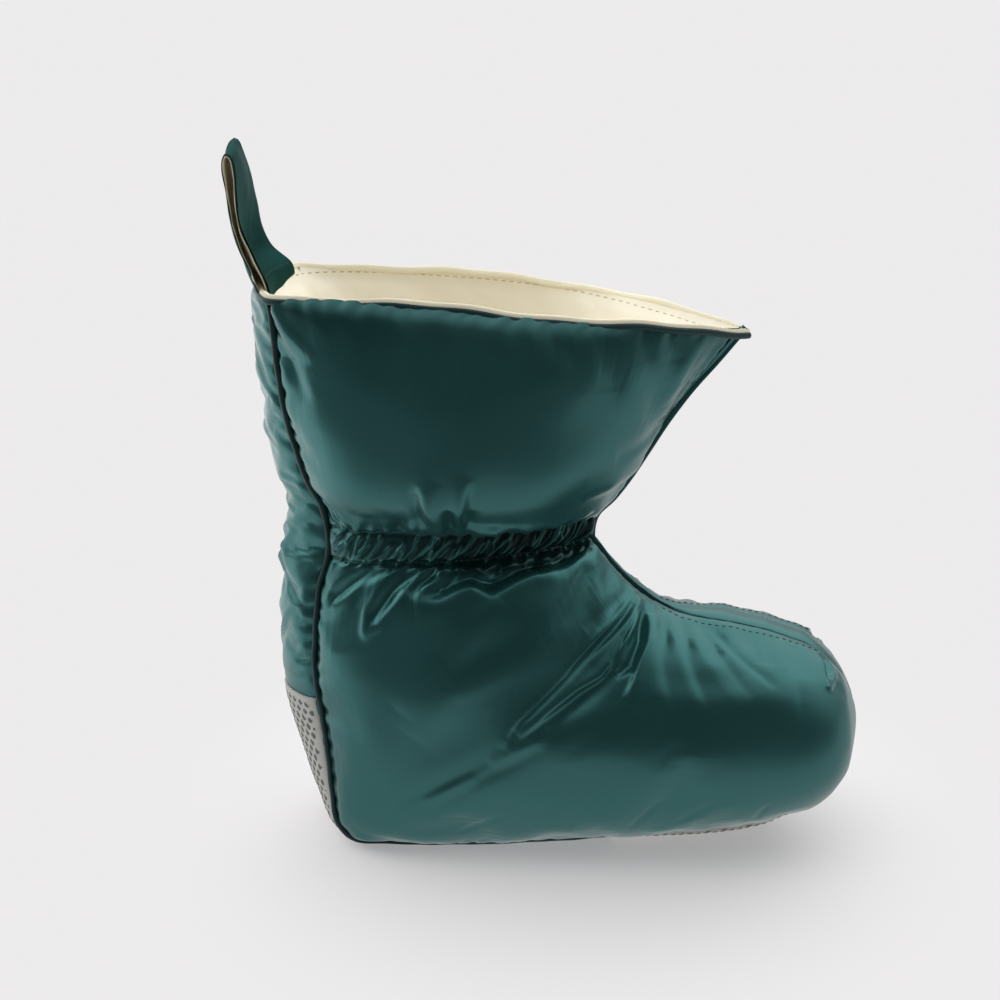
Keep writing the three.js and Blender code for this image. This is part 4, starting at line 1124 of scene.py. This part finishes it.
# The welts in the two long seams, dark teal that is partly their own colour and partly painted shade of the
# seams' grooves
welt = {
    "from": 0.4,
    "to": 27.3,
    "rows": 420,
    "width": 2.9,
    "low": 4.2,
    "lowAtCollar": 1.4,  # the wall is thin there
    "proud": 0.2,
    "wave": 0.35,
}
for side, name in ((1, "welt_left"), (-1, "welt_right")):
    at = evenPlaces(welt["from"], welt["to"], welt["rows"], lambda a: form(a, np.ones_like(a), side))
    centreLine = form(at, np.ones_like(at), side)
    run = lengthsAlong(centreLine[None], 1)[0]
    up = seamFacing(at, 1.0, side)
    acrossWelt = unit(form(at, np.full_like(at, 1.03), side) - form(at, np.full_like(at, 0.97), side))
    wobble = welt["wave"] * (np.sin(run / 6.5) + 0.6 * np.sin(run / 2.9 + 1))
    low = mix(welt["lowAtCollar"], welt["low"], smooth(0.6, 2.2, at))
    rings = []
    for k in range(10):
        turn = 2 * math.pi * k / 10
        y = welt["width"] / 2 * math.copysign(abs(math.cos(turn)) ** 0.8, math.cos(turn))
        rise = math.copysign(abs(math.sin(turn)) ** 0.7, math.sin(turn))
        z = mix(-low, -0.4 + welt["proud"], 0.5 + 0.5 * rise)
        z = z + 0.25 * wobble * (z > -1)
        rings.append(centreLine + acrossWelt * (y + wobble)[:, None] + up * z[:, None])
    rings = np.stack(rings, axis=1)
    ringPiece(name, rings, weltCloth, "seam_" + name)
print("welts made")

# The collar's edge: a cream fold over the top and, below it outside, a roll of the shell in the darker welt
# cloth, which is painted shade of the shadowed groove there
edge = {"rows": 420, "wave": 0.75}


# Points round the collar, outside and inside
def collarRing(count):
    place = np.concatenate([np.linspace(0, 1, 300), np.linspace(1, 2, 900)[1:], np.linspace(2, 3, 60)[1:]])
    left = form(np.zeros_like(place), place, 1)
    right = form(np.zeros_like(place), place, -1)[::-1]
    whole = np.concatenate([left, right[1:]])
    innerLeft = innerForm(np.zeros_like(place), place, 1)
    innerWhole = np.concatenate([innerLeft, innerForm(np.zeros_like(place), place, -1)[::-1][1:]])
    run = lengthsAlong(whole[None], 1)[0]
    even = np.linspace(0, run[-1], count + 1)[:-1]
    outer = np.stack([np.interp(even, run, whole[:, k]) for k in range(3)], axis=-1)
    inner = np.stack([np.interp(even, run, innerWhole[:, k]) for k in range(3)], axis=-1)
    return outer, inner, even


outer, inner, run = collarRing(edge["rows"])
wave = edge["wave"] * (np.sin(run / 17) + 0.5 * np.sin(run / 6.3 + 2))
lift = np.stack([0 * run, 0 * run, wave], axis=-1)
outward = unit(outer - inner)
upward = np.array([0, 0, 1.0])


# Rings with one section round the collar: share of the wall, millimetres out and up
def edgeSection(corners):
    rows = []
    for share, out, height in corners:
        rows.append(mix(inner, outer, share) + outward * out + upward * height + lift)
    rings = np.stack(rows, axis=1)
    return np.concatenate([rings, rings[:1]])


foldCorners = [(0, 0.3, -2.6), (0, -0.5, -2.2), (0, -0.7, -0.8), (0, -0.2, 0.5), (0.4, 0, 1.1), (0.9, 0, 0.9)]
foldCorners += [(1, 0.2, 0.2), (1, 0.4, -0.9), (1, -0.4, -1.5), (0, 0.9, -1.6)]
ringPiece("collar_fold", edgeSection(foldCorners), hem, "upper")
# the roll is the teal shell turned into a shadowed groove; its dark welt cloth is painted shade
rollCorners = [(1, -0.6, -1.0), (1, 0.3, -0.6), (1, 1.0, -1.3), (1, 1.2, -2.4)]
rollCorners += [(1, 0.9, -3.4), (1, 0.1, -3.9), (1, -0.6, -3.4)]
ringPiece("collar_roll", edgeSection(rollCorners), weltCloth, "upper")
print("collar edge made")

# The pull loop: the teal tape with a cream backing, folded over, one leg inside the collar
loop = {"halfWidth": 31, "thickness": 0.75, "columns": 25, "rows": 110, "edgeWave": 0.5, "bow": 6.6}
# x and z of the fold at its near edge and at its far edge, from the leg inside to the leg outside
loopNear = [
    (-44.2, 279), (-44.4, 290), (-45.4, 299), (-50.6, 311), (-56.0, 326), (-57.6, 340), (-57.8, 350),
    (-59.6, 357.6), (-62.4, 358.6), (-63.8, 353), (-62.4, 341), (-59.2, 326), (-54.6, 311),
    (-51.4, 302), (-49.6, 297), (-48.6, 291),
]
loopFar = [
    (-44.2, 279), (-44.2, 290), (-45.2, 300), (-55.4, 309), (-60.2, 320), (-61.6, 332),
    (-63.0, 343), (-65.6, 354), (-68.0, 360.2), (-70.8, 360.9), (-72.0, 355.5), (-69.6, 343), (-66.0, 327),
    (-61.4, 313), (-54.6, 303), (-50.0, 297), (-48.6, 291),
]


# Points on a smooth curve through the given ones
def smoothLine(points, count):
    points = np.array(points, float)
    run = lengthsAlong(points[None], 1)[0]
    at = np.linspace(0, run[-1], count)
    i = np.clip(np.searchsorted(run, at, side="right") - 1, 0, len(points) - 2)
    t = ((at - run[i]) / (run[i + 1] - run[i]))[:, None]
    before, after = points[np.maximum(i - 1, 0)], points[np.minimum(i + 2, len(points) - 1)]
    a, b = points[i], points[i + 1]
    leave, arrive = (b - before) / 2, (after - a) / 2
    return a + leave * t + (3 * (b - a) - 2 * leave - arrive) * t**2 + (leave + arrive - 2 * (b - a)) * t**3


near, far = smoothLine(loopNear, loop["rows"]), smoothLine(loopFar, loop["rows"])
shareAcross = np.linspace(-1, 1, loop["columns"])
t = ((shareAcross + 1) / 2)[None, :, None]
flat = near[:, None] * (1 - t) + far[:, None] * t
runLoop = lengthsAlong(flat, 0)
bowed = loop["bow"] * (1 - smooth(296, 352, flat[..., 1])) * (1 - shareAcross[None] ** 2)
ripple = np.sin(runLoop / 9 + 2.2 * shareAcross[None] + 0.8 * np.sin(runLoop / 23))
ripple = ripple * smooth(300, 315, flat[..., 1]) * (1 - 0.4 * abs(shareAcross[None]))
wavy = 1 + loop["edgeWave"] / loop["halfWidth"] * np.sin(runLoop / 3.1 + 3 * shareAcross[None])
wavyBacking = 1 + loop["edgeWave"] / loop["halfWidth"] * np.sin(runLoop / 2.2 + 2 * shareAcross[None] + 1)
sideways = shareAcross[None] * loop["halfWidth"] * wavy
tape = np.stack([flat[..., 0] - bowed + ripple, sideways, flat[..., 1]], axis=-1)
tapeUps = normalsOf(tape, 1)


# A sheet of cloth with two faces and a rounded rim
def sheetPiece(name, grid, ups, low, high, material, node):
    columns = grid.shape[1]
    rim = np.sqrt(np.clip(1 - np.linspace(-1, 1, columns) ** 16, 0, 1))[None, :, None]
    middle = (low + high) / 2
    thick = (high - low) / 2
    front = grid + ups * (middle + thick * rim)
    back = grid + ups * (middle - thick * rim)
    rings = withEnds(np.concatenate([front, back[:, ::-1]], axis=1))
    weld(ringPiece(name, rings, material, node))


thick = loop["thickness"]
sheetPiece("loop_tape", tape, tapeUps, 0.05, thick, loopCloth, "pull_loop")
backing = tape.copy()
backing[..., 1] *= 1.035 * wavyBacking / wavy
sheetPiece("loop_backing", backing, tapeUps, -thick * 0.8, -0.05, hem, "pull_loop")
baseRow = int(np.argmax(tape[:, 12, 2] > 299))
onTape = tape[baseRow] + tapeUps[baseRow] * thick
stitchRow("loop_stitches", onTape, tapeUps[baseRow], *stitches["loop"], thread, "trim", "pull_loop")
print("pull loop made")

# The grip patches with their dots
grip = {
    "edge": 0.97,  # share of the strip's width
    "lift": 0.1,
    "thickness": 0.75,
    "dotPitch": 5.2,
    "rowShare": 0.87,  # how far apart the rows of dots are, as a share of the pitch
    "dotSize": (1.3, 1.75),
    "dotHeight": 0.4,
    "rows": 170,
    "columns": 99,
    "under": 0.6,
    "sink": (3.4, 8),  # how deep the patch dips at the seams, and over what width
}
# the first and the last rib of each, how far its top edge droops at the seams, and its solid
patchRows = {
    "heel_grip": (12.55, 18.0, 0.28, "heel_patch"),
    "forefoot_grip": (21.0, 26.0, 0.0, "forefoot_patch"),
}
for name, (start, end, droop, node) in patchRows.items():
    shareOf = np.linspace(-grip["edge"], grip["edge"], grip["columns"])
    u = np.linspace(0, 1, grip["rows"])[:, None]
    atGrid = mix(start + droop * shareOf[None] ** 2, end, u)
    placeGrid = abs(shareOf)[None] + 0 * u
    sideGrid = np.where(shareOf < 0, -1, 1)[None] + 0 * u
    base = form(atGrid, placeGrid, sideGrid)
    ups = normalsOf(base, 1)
    acrossPatch = lengthsAlong(base, 1)
    acrossPatch = acrossPatch - acrossPatch[:, -1:] / 2
    alongPatch = lengthsAlong(base, 0)
    toEdge = acrossPatch[:, -1:] - abs(acrossPatch)
    sunk = -grip["sink"][0] * seamProfile(toEdge, grip["sink"][1])
    row = np.round(alongPatch / (grip["dotPitch"] * grip["rowShare"]))
    offset = np.where(row % 2 == 0, 0, grip["dotPitch"] / 2)
    column = np.round((acrossPatch - offset) / grip["dotPitch"])
    dx = (acrossPatch - offset - column * grip["dotPitch"]) / grip["dotSize"][0]
    dy = (alongPatch - row * grip["dotPitch"] * grip["rowShare"]) / grip["dotSize"][1]
    dome = np.clip(1 - dx * dx - dy * dy, 0, 1) ** 0.5
    inField = smooth(3, 4.5, np.minimum(toEdge, alongPatch))
    height = grip["lift"] + grip["thickness"] + sunk + grip["dotHeight"] * dome * inField
    top = base + ups * height[..., None]
    under = base + ups * (grip["lift"] + sunk - grip["under"])[..., None]
    closed = withEnds(np.concatenate([top, under[:, ::-1]], axis=1))
    piece = ringPiece(name, closed, gripCloth, node)
    piece.data.materials.append(gripDot)
    isDot = np.zeros(closed.shape[:2])
    isDot[1:-1, : top.shape[1]] = (dome > 0.05) & (inField > 0.5)
    corners = isDot[:-1] + np.roll(isDot, -1, axis=1)[:-1] + isDot[1:] + np.roll(isDot, -1, axis=1)[1:]
    piece.data.polygons.foreach_set("material_index", (corners.ravel() > 1.5).astype(np.int32))
    weld(piece)
print("grip patches made")

# The footbed: a thin quilted pad in the bottom
footbed = {
    "from": 16.2,
    "to": 27.2,
    "rows": 110,
    "columns": 48,
    "floor": 10.6,
    "thickness": 5,
    "inset": 2.5,
    "quilt": (0.35, 24),  # height and pitch
}
at = evenPlaces(footbed["from"], footbed["to"], footbed["rows"], lambda a: innerForm(a, np.zeros_like(a), 1))
rim = innerForm(at, np.full_like(at, 1.02), 1)
u = np.linspace(0, 1, footbed["rows"])
halfPad = np.maximum(rim[:, 1] - footbed["inset"], 1) * np.sqrt(np.clip(1 - (2 * u - 1) ** 10, 0, 1))
xPad = innerForm(at, np.zeros_like(at), 1)[:, 0]
turn = np.linspace(0, 2 * math.pi, footbed["columns"], endpoint=False)
shapeY = np.sign(np.cos(turn)) * abs(np.cos(turn)) ** 0.5
shapeZ = np.sign(np.sin(turn)) * abs(np.sin(turn)) ** 0.5
low = innerForm(at, np.zeros_like(at), 1)[:, 2]
base = np.maximum(footbed["floor"], low + 0.6)
middleZ = base + footbed["thickness"] / 2
thickPad = footbed["thickness"] / 2 * np.sqrt(np.clip(1 - (2 * u - 1) ** 14, 0.02, 1))
quilt = footbed["quilt"][0] * np.cos(2 * math.pi * xPad / footbed["quilt"][1])
rings = np.stack(
    [
        xPad[:, None] + 0 * shapeY[None],
        halfPad[:, None] * shapeY[None],
        middleZ[:, None] + (thickPad + quilt * 0.5)[:, None] * shapeZ[None],
    ],
    axis=-1,
)
footPad = ringPiece("footbed", rings, feltTop, "insole")
print("footbed made")

# Floor and light: a pale floor under a bright ceiling, in a room that is dark behind the camera
room = {
    "floorSize": 60.0,
    "pale": (0.845, 0.832, 0.838, 1),
    "floorColour": (0.6, 0.59, 0.594, 1),
    "middle": (0.1, 0, 0),
    "fade": (0.1, 0.26),  # distances over which the floor's shade fades to its plain pale
    "ceiling": 1.62,
    "wall": 0.35,
    "dark": 0.03,  # share of the light that comes from behind the camera
    "floorShine": (-0.33, -0.09),  # where the floor's reflection is dark and where it is bright, in metres
    "floorDark": 0.1,
    "floorBright": 0.85,
    "floorLeftFrom": (-0.3, -0.1),  # where it begins to change towards the left, in metres
    "ceilingFrom": (0.05, 0.6),  # heights of the directions between the wall's light and the ceiling's
    "frontFrom": (-0.8, 0.2),
    "leftFrom": (-0.9, -0.3),
    "fill": 0.34,  # light that the floor gives by itself, which softens the shadow
    "left": 1.7,  # how much brighter the wall behind the heel is
    "floorLeft": 1.9,
    "lamp": 0.03,  # watts
    "lampSize": (0.19, 0.05),
    "lampPlace": (0.05, 0, 0.312),
}


# A value turned into a smooth step
def rampNode(tree, value, low, high, fromLow, toHigh):
    ramp = tree.nodes.new("ShaderNodeMapRange")
    ramp.interpolation_type = "SMOOTHSTEP"
    for label, number in (("From Min", low), ("From Max", high), ("To Min", fromLow), ("To Max", toHigh)):
        ramp.inputs[label].default_value = number
    tree.links.new(value, ramp.inputs["Value"])
    return ramp.outputs["Result"]


def colouredNode(tree, kind, colour):
    node = tree.nodes.new(kind)
    node.inputs["Color"].default_value = colour
    return node


def mixedShader(tree, share, first, second):
    node = tree.nodes.new("ShaderNodeMixShader")
    for value, socket in zip((share, first, second), node.inputs):
        tree.links.new(value, socket)
    return node.outputs[0]


floorMaterial = bpy.data.materials.new("paleFloor")
floorMaterial.use_nodes = True
tree = floorMaterial.node_tree
tree.nodes.remove(tree.nodes["Principled BSDF"])
lit = colouredNode(tree, "ShaderNodeBsdfDiffuse", room["floorColour"])
even, shine, fill = [colouredNode(tree, "ShaderNodeEmission", room["pale"]) for _ in range(3)]
fill.inputs["Strength"].default_value = room["fill"]
where = tree.nodes.new("ShaderNodeNewGeometry")
apart = tree.nodes.new("ShaderNodeSeparateXYZ")
tree.links.new(where.outputs["Position"], apart.inputs[0])
distance = tree.nodes.new("ShaderNodeVectorMath")
distance.operation = "LENGTH"
centred = tree.nodes.new("ShaderNodeVectorMath")
centred.operation = "SUBTRACT"
centred.inputs[1].default_value = room["middle"]
tree.links.new(where.outputs["Position"], centred.inputs[0])
tree.links.new(centred.outputs["Vector"], distance.inputs[0])
near = tree.nodes.new("ShaderNodeAddShader")
tree.links.new(lit.outputs[0], near.inputs[0])
tree.links.new(fill.outputs[0], near.inputs[1])
away = rampNode(tree, distance.outputs["Value"], *room["fade"], 0.0, 1.0)
plain = mixedShader(tree, away, near.outputs[0], even.outputs[0])
low, high = room["floorShine"]
byDepth = rampNode(tree, apart.outputs["Y"], low, high, room["floorDark"], room["floorBright"])
toLeft = rampNode(tree, apart.outputs["X"], *room["floorLeftFrom"], room["floorLeft"], 1.0)
tree.links.new(mathNode(tree, "MULTIPLY", byDepth, toLeft), shine.inputs["Strength"])
ray = tree.nodes.new("ShaderNodeLightPath")
either = mixedShader(tree, ray.outputs["Is Glossy Ray"], plain, shine.outputs[0])
tree.links.new(either, tree.nodes["Material Output"].inputs["Surface"])

plane = bpy.data.meshes.new("floor")
size = room["floorSize"]
corners = [(-size, -size, 0), (size, -size, 0), (size, size, 0), (-size, size, 0)]
plane.from_pydata(corners, [], [(0, 1, 2, 3)])
floor = bpy.data.objects.new("floor", plane)
floor.data.materials.append(floorMaterial)
scene.collection.objects.link(floor)
floor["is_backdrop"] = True

world = bpy.data.worlds.new("studio")
world.use_nodes = True
scene.world = world
tree = world.node_tree
light = tree.nodes["Background"]
light.inputs["Color"].default_value = (1, 1, 1, 1)
direction = tree.nodes.new("ShaderNodeTexCoord")
apart = tree.nodes.new("ShaderNodeSeparateXYZ")
tree.links.new(direction.outputs["Generated"], apart.inputs[0])
byHeight = rampNode(tree, apart.outputs["Z"], *room["ceilingFrom"], room["wall"], room["ceiling"])
fromFront = rampNode(tree, apart.outputs["Y"], *room["frontFrom"], room["dark"], 1.0)
fromLeft = rampNode(tree, apart.outputs["X"], *room["leftFrom"], room["left"], 1.0)
strength = mathNode(tree, "MULTIPLY", mathNode(tree, "MULTIPLY", byHeight, fromFront), fromLeft)
tree.links.new(strength, light.inputs["Strength"])
seen = colouredNode(tree, "ShaderNodeBackground", room["pale"])
ray = tree.nodes.new("ShaderNodeLightPath")
either = mixedShader(tree, ray.outputs["Is Camera Ray"], light.outputs[0], seen.outputs[0])
tree.links.new(either, tree.nodes["World Output"].inputs["Surface"])

# a soft lamp in the collar's opening, for the lining
lampData = bpy.data.lights.new("collarLamp", "AREA")
lampData.shape = "RECTANGLE"
lampData.size, lampData.size_y = room["lampSize"]
lampData.energy = room["lamp"]
lamp = bpy.data.objects.new("collarLamp", lampData)
lamp.location = room["lampPlace"]
lamp.visible_glossy = lamp.visible_camera = False
scene.collection.objects.link(lamp)
print("room ready")

size = {"cad": [list(v) for v in cadBox], "visual": [list(v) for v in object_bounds()]}
print("sizes", size)
